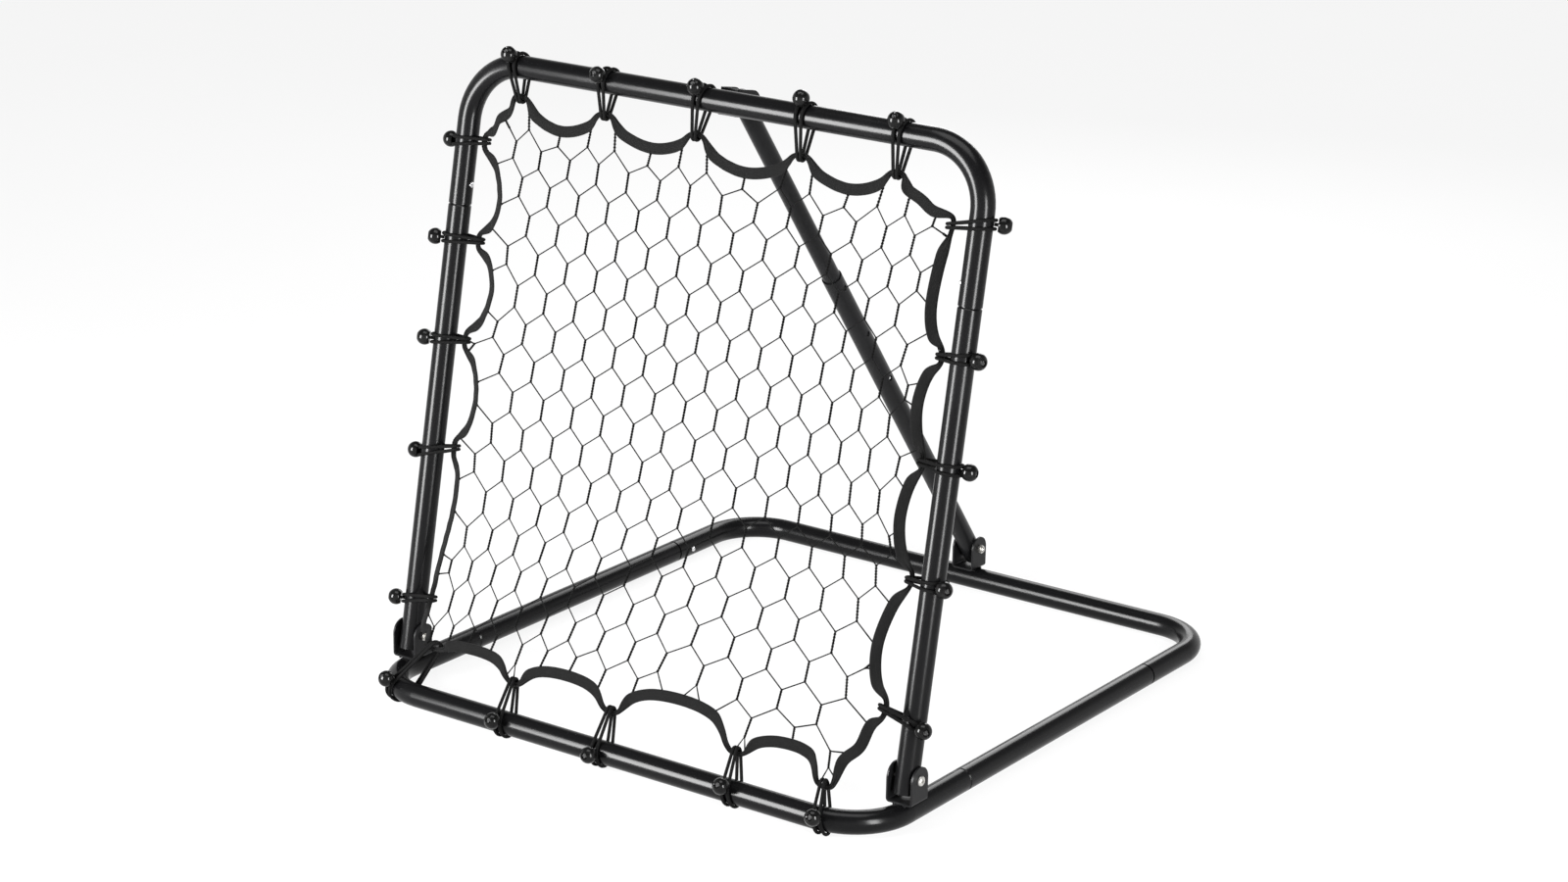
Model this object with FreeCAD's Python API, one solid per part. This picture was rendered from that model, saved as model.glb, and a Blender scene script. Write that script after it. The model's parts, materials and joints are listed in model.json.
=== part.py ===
import FreeCAD, Part
import math
import os

from FreeCAD import Placement, Rotation, Vector

# A pitch back rebounder: a steel tube base, a net frame that leans back on two hinges, and a
# telescopic brace behind it. Millimetres, +Z up, +X to the right of a player who faces the net,
# +Y away from the player. Everything is first laid out level, with Y measured from the front rail's
# axis. The front rail stands on the elastic loops that pass under it, so at the end the whole is
# tipped until those loops and the rear rail touch the ground, with the origin under the middle.

# Tubing
tube_diameter = 35.0
tube_wall = 1.5
bend_radius = 90.0             # of the tube's axis
frame_width = 915.0            # between the axes of the two sides
running_clearance = 0.1        # round every pin in its hole

# Base
base_length = 963.0            # between the axes of the front and rear rails
front_leg_reach = 233.5        # from the rail's axis to the leg's open end
rear_leg_reach = 206.0

# Joints between tubes
swage_insert = 60.0            # narrowed end inside the leg
swage_clearance = 0.1          # round the narrowed end
joint_gap = 1.2                # narrowed tube left bare between the leg and the shoulder
shoulder_length = 2.4

# Hinges and brackets of folded plate
hinge_setback = 92.6           # hinge axis behind the front rail's axis
lean_angle = 10.57             # degrees
plate = 3.0
plate_fold_radius = 3.5        # to the middle of the plate
bracket_length = 40.0
bracket_side_gap = 1.5         # between an ear and the tube in it, on each side
brace_side_gap = 1.0
tube_end_drop = 23.4           # square tube end beyond its pivot bolt
sweep_clearance = 2.8          # between the turning tube end and the web
weld_offset = 8.5              # weld bead from the line of contact

# Pivot bolts
bolt_diameter = 8.0
bolt_head_diameter = 15.0
bolt_head_height = 4.6
recess_span = 7.0              # cross recess
recess_slot = 1.7
recess_depth = 2.4
nut_width = 13.0
nut_height = 6.5
nut_collar_diameter = 11.0
nut_collar_height = 1.5
bolt_chamfer = 1.0
bolt_tail = 2.0                # beyond the nut

# Net frame
upright_height = 886.6         # hinge axis to the top rail's axis
top_leg_reach = 218.0

# Brace
brace_lower_diameter = 32.0
brace_upper_diameter = 28.0
brace_hole_start = 230.0       # foot bolt to the lowest adjusting hole
brace_hole_pitch = 110.0
brace_hole_count = 5
brace_hole_in_use = 2          # counted from the lowest, which is 0
brace_hole_diameter = 8.6
brace_rim_margin = 22.0        # lower tube beyond its last hole
brace_insert = 60.0            # upper tube below its button
brace_head_reach = 12.0        # upper tube beyond the head bolt
brace_dome_height = 7.0
slot_allowance = 0.3
adjusting_steps = 2            # holes to either side of the one in use

# Plugs in tube ends
plug_depth = 12.0
plug_wall = 2.0
plug_bolt_gap = 2.1            # head plug to the head bolt's slot

# Snap buttons
button_diameter = 8.0
button_rise = 4.0              # above the outer tube
button_dome = 2.2
button_collar_diameter = 11.0
button_collar_height = 1.4
button_inset = 30.0            # leg's open end to the button
leaf_width = 9.0
leaf_thickness = 0.8
leaf_length = 46.0
leaf_bend_radius = 3.0
brace_button_travel = 4.2      # from pressed in, as it is drawn, to locked in a hole

# Net
mesh_pitch = 57.0
mesh_upright = 29.5            # length of the upright sides of a mesh
mesh_step = 50.8               # from row to row
upright_cord = 2.4             # twisted pair
slanted_cord = 1.4
net_thickness = 1.6
top_row_drop = 36.0            # below the top rail's axis
fold_height = 246.0            # above the hinge axis, where the net leaves the posts' plane
lower_edge_forward = 30.0      # lower edge of the net behind the front rail's axis
lower_edge_height = 70.0
smallest_mesh = 40.0           # clipped meshes with less area than this are closed by the strap

# Binding strap
strap_width = 17.0
strap_gathered_width = 7.4     # where a loop pulls it together
strap_layer = 0.9
strap_seam_depth = 4.0         # of the net's edge inside the folded strap
gather_half_length = 9.0       # more where the loop crosses it aslant
full_width_along = 0.30        # where the strap is wide again: share of the way along to the sag's middle
full_width_down = 0.62         # and share of the sag's depth there

# Elastic loops and balls
cord_diameter = 5.0
cord_clearance = 0.15
pinch_clearance = 0.3
cord_flat = 0.5                # pressed flat on the ground
cord_spread = 5.2              # half the distance between the two strands on the tube
cord_spread_at_net = 2.6
cord_sides = 8
cord_bend_step = 26.0          # degrees turned by one flat length of a cord
ball_diameter = 25.0
ball_reach = 14.0              # ball's centre above the tube's surface
ball_mouth_diameter = 9.0
ball_mouth_depth = 8.0
ball_mouth_chamfer = 1.2
bend_clearance = 0.45          # more round a tube where it bends

# Loops along each side, as (place, reach, aside, angle): place is the share of the way along the side,
# reach is from the tube's surface to the strap, aside is how much further along the tube the loop sits
# than on the strap, and angle is the ball's, up from straight ahead on the rails and forward from
# straight outward on the posts. The strap hangs at (place, reach) between them.
top_ties = ((-0.990, 27.5, -8.5, 34.0), (-0.555, 30.5, -0.2, 19.0), (-0.100, 36.5, 6.0, 33.0),
            (0.405, 38.5, 0.3, 54.0), (0.850, 38.5, 2.3, 36.0))
top_sags = ((-0.770, 66.5), (-0.308, 66.5), (0.152, 76.5), (0.640, 72.5))
left_ties = ((0.963, 18.0, -3.5, -1.0), (0.775, 27.0, -2.1, 40.0), (0.583, 21.0, -3.6, 31.0),
             (0.375, 24.0, -10.8, 5.0), (0.085, 44.0, -17.1, 30.0))
left_sags = ((0.855, 57.0), (0.688, 60.0), (0.479, 53.0), (0.263, 51.0))
right_ties = ((0.971, 29.0, 8.2, -31.0), (0.744, 18.0, 2.9, 16.0), (0.555, 26.0, -0.5, -11.0),
              (0.346, 19.0, 0.4, 28.0), (0.115, 12.0, -20.0, 33.0))
right_sags = ((0.816, 45.0), (0.650, 47.0), (0.443, 51.0), (0.222, 50.0))
bottom_ties = ((-0.990, 17.5, -45.5, 38.0), (-0.555, 0.0, 7.2, 22.0), (-0.055, 0.0, 5.6, 9.0),
               (0.568, -5.0, 12.7, 32.0), (0.990, -14.0, 13.8, 23.0))
bottom_sags = ((-0.860, 27.0), (-0.400, 27.0), (0.138, 40.0), (0.750, 24.0))
corner_sags = {"top_left": (39.0, 66.0), "top_right": (84.0, 68.0),
               "bottom_left": (44.0, 43.0), "bottom_right": (36.0, 50.0)}

# Sizes that follow
tube_radius = tube_diameter / 2
tube_bore = tube_radius - tube_wall
neck_radius = tube_bore - swage_clearance
half_width = frame_width / 2
bolt_radius = bolt_diameter / 2
bolt_hole = bolt_radius + running_clearance
lean = math.radians(lean_angle)
bolt_height = plate + sweep_clearance + math.hypot(tube_radius, tube_end_drop)
brace_end_drop = math.sqrt((bolt_height - plate - sweep_clearance) ** 2 - (brace_lower_diameter / 2) ** 2)
axis_height = tube_radius
hinge = Vector(0, hinge_setback, tube_diameter + bolt_height)
foot_pivot = Vector(0, base_length, tube_diameter + bolt_height)
head_offset = tube_radius + bolt_height
straight_half = half_width - bend_radius
post_straight = upright_height - bend_radius
button_radius = button_diameter / 2
button_hole = button_radius + running_clearance
brace_lower_bore = brace_lower_diameter / 2 - tube_wall
brace_upper_bore = brace_upper_diameter / 2 - tube_wall
cord_radius = cord_diameter / 2
strap_thickness = net_thickness + 2 * strap_layer
ball_radius = ball_diameter / 2
ball_distance = tube_radius + ball_reach
around_tube = tube_radius + cord_radius + cord_clearance
cord_reach = (around_tube + cord_radius) / math.cos(math.radians(cord_bend_step / 2))
around_strap = math.hypot(strap_gathered_width, strap_thickness) / 2 + pinch_clearance + cord_radius

X_AXIS = Vector(1, 0, 0)
Y_AXIS = Vector(0, 1, 0)
Z_AXIS = Vector(0, 0, 1)
ORIGIN = Vector(0, 0, 0)

# The net frame is drawn upright with its origin on the hinge axis, then leaned back about it.
lean_back = Placement(hinge, Rotation(X_AXIS, -lean_angle))
head_pivot = lean_back.multVec(Vector(0, head_offset, upright_height))
brace_length = (head_pivot - foot_pivot).Length
brace_line = (head_pivot - foot_pivot) / brace_length
brace_angle = math.degrees(math.atan2(-brace_line.y, brace_line.z))
stand_brace = Placement(foot_pivot, Rotation(X_AXIS, brace_angle))
brace_button_height = brace_hole_start + brace_hole_in_use * brace_hole_pitch

# Motion of the brace per radian of the frame's tilt, forward being positive
head_arm = head_pivot - hinge
head_motion = Vector(0, -head_arm.z, head_arm.y)
slide_per_tilt = head_motion.dot(brace_line)
foot_turn_per_tilt = head_motion.dot(Vector(0, -brace_line.z, brace_line.y)) / brace_length
tilt_limit = adjusting_steps * brace_hole_pitch / slide_per_tilt

# The ground touches the loops under the front rail, which are pressed flat there, and the rear rail.
ground_slope = math.asin((around_tube + cord_radius - cord_flat - tube_radius) / base_length)
ground_turn = Rotation(X_AXIS, -math.degrees(ground_slope))
front_angle = math.radians(min(angle for place, reach, aside, angle in bottom_ties))
front_ball = Vector(0, -math.cos(front_angle), math.sin(front_angle))
front_reach = ball_radius - ground_turn.multVec(front_ball * ball_distance + Z_AXIS * axis_height).y
across_brace = Vector(0, brace_line.z, -brace_line.y)
brace_tail = foot_pivot - brace_line * brace_end_drop + across_brace * (brace_lower_diameter / 2)
rear_reach = ground_turn.multVec(brace_tail).y
lift = base_length * math.sin(ground_slope) + tube_radius * (1 - math.cos(ground_slope))
settle = Placement(Vector(0, (front_reach - rear_reach) / 2, lift), ground_turn)


# Tools for drawing

def turned(vector, radians):
    """The vector turned about the X axis."""
    return Rotation(X_AXIS, math.degrees(radians)).multVec(vector)


def unit(vector):
    return vector / vector.Length


def rounded_path(points, radius):
    """Straight runs through the points, with a tangent arc at each corner."""
    edges = []
    start = points[0]
    for before, corner, after in zip(points, points[1:], points[2:]):
        back = unit(before - corner)
        ahead = unit(after - corner)
        half_angle = back.getAngle(ahead) / 2
        cut = radius / math.tan(half_angle)
        nearest = radius / math.sin(half_angle) - radius
        arc_start = corner + back * cut
        arc_end = corner + ahead * cut
        edges.append(Part.LineSegment(start, arc_start).toShape())
        edges.append(Part.Arc(arc_start, corner + unit(back + ahead) * nearest, arc_end).toShape())
        start = arc_end
    edges.append(Part.LineSegment(start, points[-1]).toShape())
    return Part.Wire(edges)


def round_bar(path, radius):
    """Bar of round section along a path of straight runs and arcs."""
    lengths = []
    for edge in path.Edges:
        start = edge.valueAt(edge.FirstParameter)
        end = edge.valueAt(edge.LastParameter)
        if isinstance(edge.Curve, Part.Circle):
            disc = Part.Face(Part.Wire(Part.makeCircle(radius, start, edge.tangentAt(edge.FirstParameter))))
            sweep = math.degrees(edge.Length / edge.Curve.Radius)
            lengths.append(disc.revolve(edge.Curve.Center, edge.Curve.Axis, sweep))
        else:
            lengths.append(cylinder(radius, start, end))
    return lengths[0].multiFuse(lengths[1:])


def bent_strip(path, across, width, thickness):
    """Flat strip bent along a path. Across is the direction of its width."""
    first = path.Edges[0]
    start = first.valueAt(first.FirstParameter)
    through = first.tangentAt(first.FirstParameter).cross(across)
    corners = [start + across * (width / 2 * a) + through * (thickness / 2 * b)
               for a, b in ((-1, -1), (1, -1), (1, 1), (-1, 1), (-1, -1))]
    return path.makePipeShell([Part.makePolygon(corners)], True, False)


def cylinder(radius, start, end):
    return Part.makeCylinder(radius, (end - start).Length, start, end - start)


def revolved(outline, axis=Z_AXIS):
    """Turned piece. The outline is a list of points or edges in a plane through the axis."""
    edges = []
    for item, following in zip(outline, outline[1:] + outline[:1]):
        if isinstance(item, Vector) and isinstance(following, Vector):
            edges.append(Part.LineSegment(item, following).toShape())
        elif not isinstance(item, Vector):
            edges.append(item.toShape())
    face = Part.Face(Part.Wire(Part.__sortEdges__(edges)))
    return face.revolve(ORIGIN, axis, 360)


def placed(shape, placement):
    result = shape.copy()
    result.Placement = placement.multiply(result.Placement)
    return result


def along(direction, start):
    """Placement that turns +Z to a direction."""
    return Placement(start, Rotation(Z_AXIS, direction))


# Tubes

def bent_tube(path):
    """Tube with open ends along a path."""
    return round_bar(path, tube_radius).cut(round_bar(path, tube_bore))


def swaged_end(side, end):
    """Outer and inner corners of a narrowed end at the height of the leg's open end."""
    bare = end + side * -joint_gap
    full = bare + side * -shoulder_length
    tip = end + side * swage_insert
    outer = [Vector(tube_radius, 0, full), Vector(neck_radius, 0, bare), Vector(neck_radius, 0, tip)]
    inner = [Vector(neck_radius - tube_wall, 0, tip), Vector(neck_radius - tube_wall, 0, bare),
             Vector(tube_bore, 0, full)]
    return outer, inner


def swaged_tube(bottom, top, both_ends):
    """Straight tube along Z that is narrowed at its top, or at both ends."""
    outer, inner = swaged_end(1, top)
    if both_ends:
        outer_below, inner_below = swaged_end(-1, bottom)
        outline = outer_below[::-1] + outer + inner + inner_below[::-1]
    else:
        outline = [Vector(tube_radius, 0, bottom)] + outer + inner + [Vector(tube_bore, 0, bottom)]
    return revolved(outline)


def button_bore(center, outward):
    """Cutter for a snap button's hole through one side of a tube."""
    return cylinder(button_hole, center, center + outward * tube_diameter)


# Brackets, bolts and nuts

def bracket(gap, tube_along_bolt):
    """Folded channel with round ears. The bolt's axis is X through the origin, the web is below it,
    and the tube that carries the web runs along X or along Y."""
    middle_line = gap / 2 + plate / 2
    web_line = -bolt_height + plate / 2
    top = bracket_length / 2 + plate
    path = rounded_path([Vector(-middle_line, 0, top), Vector(-middle_line, 0, web_line),
                         Vector(middle_line, 0, web_line), Vector(middle_line, 0, top)], plate_fold_radius)
    channel = bent_strip(path, Y_AXIS, bracket_length, plate)
    reach = middle_line + plate
    ear_round = cylinder(bracket_length / 2, X_AXIS * -reach, X_AXIS * reach)
    ear_straight = Part.makeBox(2 * reach, bracket_length, bolt_height + plate,
                                Vector(-reach, -bracket_length / 2, -bolt_height - plate))
    channel = channel.common(ear_round.fuse(ear_straight))
    channel = channel.cut(cylinder(bolt_hole, X_AXIS * -reach, X_AXIS * reach))
    tube_axis = X_AXIS if tube_along_bolt else Y_AXIS
    run = middle_line if tube_along_bolt else bracket_length / 2
    return channel.fuse(weld_beads(tube_axis, run))


def weld_beads(tube_axis, run):
    """Two beads in the corners between the web and the tube under it."""
    sideways = Z_AXIS.cross(tube_axis)
    gap = tube_radius - math.sqrt(tube_radius ** 2 - weld_offset ** 2)
    tube_centre = Z_AXIS * (-bolt_height - tube_radius)
    beads = []
    for side in (-1, 1):
        start = sideways * (side * weld_offset) + Z_AXIS * (-bolt_height - gap / 2) - tube_axis * run
        beads.append(cylinder(gap, start, start + tube_axis * (2 * run)))
    below_web = Part.makeBox(4 * run, 4 * run, bolt_height, Vector(-2 * run, -2 * run, -2 * bolt_height))
    tube = cylinder(tube_radius, tube_centre - tube_axis * (2 * run), tube_centre + tube_axis * (2 * run))
    return beads[0].fuse(beads[1]).common(below_web).cut(tube)


def pan_bolt(grip):
    """Pan head bolt along -Z from its bearing face at the origin, with a cross recess."""
    rim = bolt_head_diameter / 2
    tail = -(grip + nut_height + bolt_tail)
    outline = [Vector(0, 0, tail), Vector(bolt_radius - bolt_chamfer, 0, tail),
               Vector(bolt_radius, 0, tail + bolt_chamfer),
               Vector(bolt_radius, 0, 0), Vector(rim, 0, 0), Vector(rim, 0, bolt_head_height * 0.35),
               Vector(rim * 0.9, 0, bolt_head_height * 0.7), Vector(rim * 0.62, 0, bolt_head_height),
               Vector(0, 0, bolt_head_height)]
    bolt = revolved(outline)
    for span, slot in ((recess_span, recess_slot), (recess_slot, recess_span)):
        bolt = bolt.cut(Part.makeBox(span, slot, bolt_head_height,
                                     Vector(-span / 2, -slot / 2, bolt_head_height - recess_depth)))
    return bolt


def hex_nut():
    """Nut with a round collar, its seat at the origin and its far side towards +Z."""
    corner = nut_width / math.sqrt(3)
    points = [Vector(corner * math.cos(math.radians(60 * k)), corner * math.sin(math.radians(60 * k)), 0)
              for k in range(7)]
    body_height = nut_height - nut_collar_height
    prism = Part.Face(Part.makePolygon(points)).extrude(Z_AXIS * body_height)
    chamfer = corner - nut_width / 2
    barrel = revolved([Vector(0, 0, 0), Vector(nut_width / 2, 0, 0), Vector(corner, 0, chamfer * 0.6),
                       Vector(corner, 0, body_height - chamfer * 0.6), Vector(nut_width / 2, 0, body_height),
                       Vector(0, 0, body_height)])
    collar = Part.makeCylinder(nut_collar_diameter / 2, nut_collar_height, Z_AXIS * body_height)
    return prism.common(barrel).fuse(collar).cut(Part.makeCylinder(bolt_radius, nut_height))


def bolt_and_nut(center, grip, head_side):
    """Bolt and nut through a bracket. Head side is 1 or -1 along X."""
    outward = X_AXIS * head_side
    bolt = placed(pan_bolt(grip), along(outward, center + outward * (grip / 2)))
    nut = placed(hex_nut(), along(outward * -1, center - outward * (grip / 2)))
    return bolt, nut


# Snap buttons. A button points along +X, with the tube's axis along Z through the origin.

def snap_button(root, tip):
    """Domed pin with a collar that keeps it inside the inner tube."""
    collar_top = root + button_collar_height
    collar = button_collar_diameter / 2
    outline = [Vector(root, 0, 0), Vector(root, 0, collar), Vector(collar_top, 0, collar),
               Vector(collar_top, 0, button_radius), Vector(tip - button_dome, 0, button_radius),
               Vector(tip - button_dome * 0.4, 0, button_radius * 0.8), Vector(tip, 0, button_radius * 0.35),
               Vector(tip, 0, 0)]
    return revolved(outline, X_AXIS)


def leaf_spring(root, bore):
    """Leaf folded at its lower end, from under the button to the far side of the tube's bore."""
    far_side = math.sqrt(bore ** 2 - (leaf_width / 2) ** 2)
    start = Vector(root - leaf_thickness / 2, 0, button_collar_diameter / 2)
    bend = Vector((root - far_side) / 2, 0, -leaf_length)
    end = Vector(leaf_thickness - far_side, 0, 0)
    return bent_strip(rounded_path([start, bend, end], leaf_bend_radius), Y_AXIS, leaf_width, leaf_thickness)


def collar_seat(bore):
    """Height above a tube's axis at which a button's collar meets the tube's bore."""
    return math.sqrt(bore ** 2 - (button_collar_diameter / 2) ** 2) - running_clearance


def tube_button():
    """Button of a swaged joint and its spring."""
    bore = neck_radius - tube_wall
    root = collar_seat(bore) - button_collar_height
    return snap_button(root, tube_radius + button_rise), leaf_spring(root, bore)


# Net and strap. Places on the net are (x, height), where height runs up the net from the hinge axis.

lower_edge = turned(Vector(0, lower_edge_forward, lower_edge_height) - hinge, lean)
fold_line = Vector(0, 0, fold_height)
lower_run = unit(lower_edge - fold_line)
lower_edge_place = fold_height - (lower_edge - fold_line).Length
fold_angle = math.atan2(-lower_run.y, -lower_run.z)


def net_point(place):
    """Point of the upright frame for a place on the net."""
    x, height = place
    if height >= fold_height:
        return Vector(x, 0, height)
    return fold_line + lower_run * (fold_height - height) + X_AXIS * x


def side_x(side, reach):
    return side * (half_width - tube_radius - reach)


def side_height(share):
    return share * post_straight


def top_place(share, reach):
    return share * straight_half, upright_height - tube_radius - reach


def bottom_place(share, rise):
    return share * straight_half, lower_edge_place + rise


def loop_places():
    """Places where the elastic loops hold the strap, by side."""
    places = {"top": [top_place(*tie[:2]) for tie in top_ties],
              "bottom": [bottom_place(*tie[:2]) for tie in bottom_ties]}
    for name, side, ties in (("left", -1, left_ties), ("right", 1, right_ties)):
        places[name] = [(side_x(side, reach), side_height(share)) for share, reach, aside, angle in ties]
    return places


def rail_seat(name, along):
    """Axis point and direction of the top or front rail, in the upright frame. Past the straight length
    they follow the corner bend."""
    side = math.copysign(1, along)
    turn = max(abs(along) - straight_half, 0) / bend_radius
    x = side * (min(abs(along), straight_half) + bend_radius * math.sin(turn))
    inset = bend_radius * (1 - math.cos(turn))
    if name == "top":
        return Vector(x, 0, upright_height - inset), Vector(math.cos(turn), 0, -side * math.sin(turn))
    point = turned(Vector(x, inset, axis_height) - hinge, lean)
    return point, turned(Vector(math.cos(turn), side * math.sin(turn), 0), lean)


def ball_direction(name, tube_axis, angle):
    """Unit vector from a tube's axis to a ball, in the upright frame."""
    if name in ("left", "right"):
        ahead = X_AXIS * (-1 if name == "left" else 1)
        up = Y_AXIS * -1
    elif name == "top":
        ahead = Y_AXIS * -1
        up = tube_axis.cross(Y_AXIS)
    else:
        up = turned(Z_AXIS, lean)
        ahead = tube_axis.cross(up)
    return ahead * math.cos(math.radians(angle)) + up * math.sin(math.radians(angle))


def loop_seats(name):
    """Loops of one side in the upright frame, as (tube point, tube direction, strap point, radius round
    the tube, radius round the strap, direction of the ball, half length of the gathered strap)."""
    all_ties = {"top": top_ties, "left": left_ties, "right": right_ties, "bottom": bottom_ties}
    seats = []
    for place, (share, reach, aside, angle) in zip(loop_places()[name], all_ties[name]):
        strap_point = net_point(place)
        round_tube = around_tube
        if name in ("left", "right"):
            tube_point = Vector(math.copysign(half_width, place[0]), 0, strap_point.z + aside)
            tube_axis = Z_AXIS
            beside = (0, 1)
        else:
            along = place[0] + aside
            tube_point, tube_axis = rail_seat(name, along)
            beside = (1, 0)
            if abs(along) + cord_spread + cord_radius > straight_half:
                round_tube += bend_clearance
        strap_axis = unit(net_point((place[0] + beside[0], place[1] + beside[1])) - strap_point)
        aslant = math.sqrt(1 - min(strap_axis.dot(tube_axis) ** 2, 1))
        round_strap = around_strap + (cord_spread_at_net + cord_radius) * aslant
        outward = ball_direction(name, tube_axis, angle)
        distance, ahead, sideways = loop_plane(tube_point, tube_axis, strap_point)
        gathered = gather_half_length
        gathered += round_strap * math.hypot(ahead.dot(strap_axis), sideways.dot(strap_axis))
        seats.append((tube_point, tube_axis, strap_point, round_tube, round_strap, outward, gathered))
    return seats


def loop_plane(tube_point, tube_axis, strap_point):
    """How far a tube is from the strap, the way from it to the strap with the loop's slant along the tube,
    and the direction square to both."""
    straight = strap_point - tube_point
    slant = straight.dot(tube_axis)
    straight -= tube_axis * slant
    distance = straight.Length
    return distance, (straight + tube_axis * slant) / distance, tube_axis.cross(straight / distance)


def loop_passages():
    """Gaps beside the strap through which the loops pass, drawn in (x, height)."""
    inward_of = {"top": Vector(0, -1, 0), "bottom": Vector(0, 1, 0), "left": X_AXIS, "right": X_AXIS * -1}
    faces = []
    for name, places in loop_places().items():
        inward = inward_of[name]
        beside = Vector(inward.y, -inward.x, 0)
        for place, seat in zip(places, loop_seats(name)):
            tube_point, tube_axis, strap_point, round_tube, round_strap = seat[:5]
            distance, ahead, sideways = loop_plane(tube_point, tube_axis, strap_point)
            net_ways = [unit(net_point((place[0] + way.x, place[1] + way.y)) - strap_point)
                        for way in (inward, beside)]
            square = net_ways[0].cross(net_ways[1])
            angle = math.atan2(-ahead.dot(square), sideways.dot(square))
            offset = ahead * math.cos(angle) + sideways * math.sin(angle)
            run = unit(sideways * math.cos(angle) - ahead * math.sin(angle))
            offset *= round_strap * math.copysign(1, offset.dot(net_ways[0]))
            spread = tube_axis - run * (tube_axis.dot(square) / run.dot(square))
            sizes = [cord_spread_at_net * abs(spread.dot(way)) + pinch_clearance
                     + cord_radius * math.hypot(1, run.dot(way) / run.dot(square)) for way in net_ways]
            centre = Vector(place[0], place[1], 0)
            centre += inward * offset.dot(net_ways[0]) + beside * offset.dot(net_ways[1])
            faces.append(flat_face([centre + beside * (sizes[1] * a) + inward * (sizes[0] * b)
                                    for a, b in ((-1, -1), (1, -1), (1, 1), (-1, 1))]))
    return Part.makeCompound(faces)


def strap_centre():
    """Closed line of (x, height, half width) round the net, clockwise from the top left corner."""
    places = loop_places()
    top_sag = [top_place(*sag) for sag in top_sags]
    right_sag = [(side_x(1, reach), side_height(share)) for share, reach in right_sags]
    left_sag = [(side_x(-1, reach), side_height(share)) for share, reach in left_sags]
    bottom_sag = [bottom_place(*sag) for sag in bottom_sags]
    low = lower_edge_place
    high = upright_height - tube_radius
    corner = {}
    for name, (reach, rise) in corner_sags.items():
        edge, side = name.split("_")
        height = high - rise if edge == "top" else low + rise
        corner[name] = (side_x(1 if side == "right" else -1, reach), height)
    held = {name: [(x, height, seat[-1]) for (x, height), seat in zip(places[name], loop_seats(name))]
            for name in places}
    sides = ((1, 0, held["top"], top_sag, corner["top_right"]),
             (0, -1, held["right"], right_sag, corner["bottom_right"]),
             (-1, 0, held["bottom"][::-1], bottom_sag[::-1], corner["bottom_left"]),
             (0, 1, held["left"][::-1], left_sag[::-1], corner["top_left"]))
    line = []
    before = corner["top_left"]
    for step_x, step_height, ties, sags, last in sides:
        for (x, height, gathered), after in zip(ties, sags + [last]):
            start = (x - step_x * gathered, height - step_height * gathered)
            end = (x + step_x * gathered, height + step_height * gathered)
            line.append(shoulder(start, before, step_x, step_height))
            line.append((start[0], start[1], strap_gathered_width / 2))
            line.append((end[0], end[1], strap_gathered_width / 2))
            line.append(shoulder(end, after, step_x, step_height))
            line.append((after[0], after[1], strap_width / 2))
            before = after
    return line


def shoulder(gathered, full, step_x, step_height):
    """Point beside a loop where the strap has its full width again, low on the curve of the sag."""
    along = (full[0] - gathered[0]) * step_x + (full[1] - gathered[1]) * step_height
    down_x = full[0] - gathered[0] - along * step_x
    down_height = full[1] - gathered[1] - along * step_height
    return (gathered[0] + step_x * along * full_width_along + down_x * full_width_down,
            gathered[1] + step_height * along * full_width_along + down_height * full_width_down,
            strap_width / 2)


def offset_loop(line, offset_of):
    """Points beside a closed clockwise line. Offset_of gives the distance outward for a half width."""
    points = []
    for before, here, after in zip(line[-1:] + line[:-1], line, line[1:] + line[:1]):
        first = unit(Vector(here[0] - before[0], here[1] - before[1], 0))
        second = unit(Vector(after[0] - here[0], after[1] - here[1], 0))
        outward = unit(Vector(-first.y - second.y, first.x + second.x, 0))
        reach = offset_of(here[2]) / max(outward.dot(Vector(-first.y, first.x, 0)), 0.5)
        points.append(Vector(here[0], here[1], 0) + outward * reach)
    return points


def flat_face(points):
    return Part.Face(Part.makePolygon(points + points[:1]))


def mesh_holes(inside):
    """Six-sided gaps of the net, in rows that step half a mesh aside, clipped to a face."""
    slant = math.atan2(mesh_step - mesh_upright, mesh_pitch / 2)
    side = mesh_pitch / 2 - upright_cord / 2
    thinning = slanted_cord / 2 / math.cos(slant)
    shoulder_height = mesh_upright / 2 + upright_cord / 2 * math.tan(slant) - thinning
    peak_height = mesh_step - mesh_upright / 2 - thinning
    box = inside.BoundBox
    top_row = upright_height - top_row_drop
    rows = math.ceil((top_row - box.YMin) / mesh_step) + 1
    columns = math.ceil(box.XMax / mesh_pitch) + 1
    holes = []
    for row in range(-1, rows):
        height = top_row - row * mesh_step
        for column in range(-columns, columns + 1):
            x = (column + (row % 2) / 2) * mesh_pitch
            corners = ((-side, -shoulder_height), (0, -peak_height), (side, -shoulder_height),
                       (side, shoulder_height), (0, peak_height), (-side, shoulder_height))
            holes.append(flat_face([Vector(x + aside, height + up, 0) for aside, up in corners]))
    clipped = Part.makeCompound(holes).common(inside)
    return [face for face in clipped.Faces if face.Area > smallest_mesh]


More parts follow.
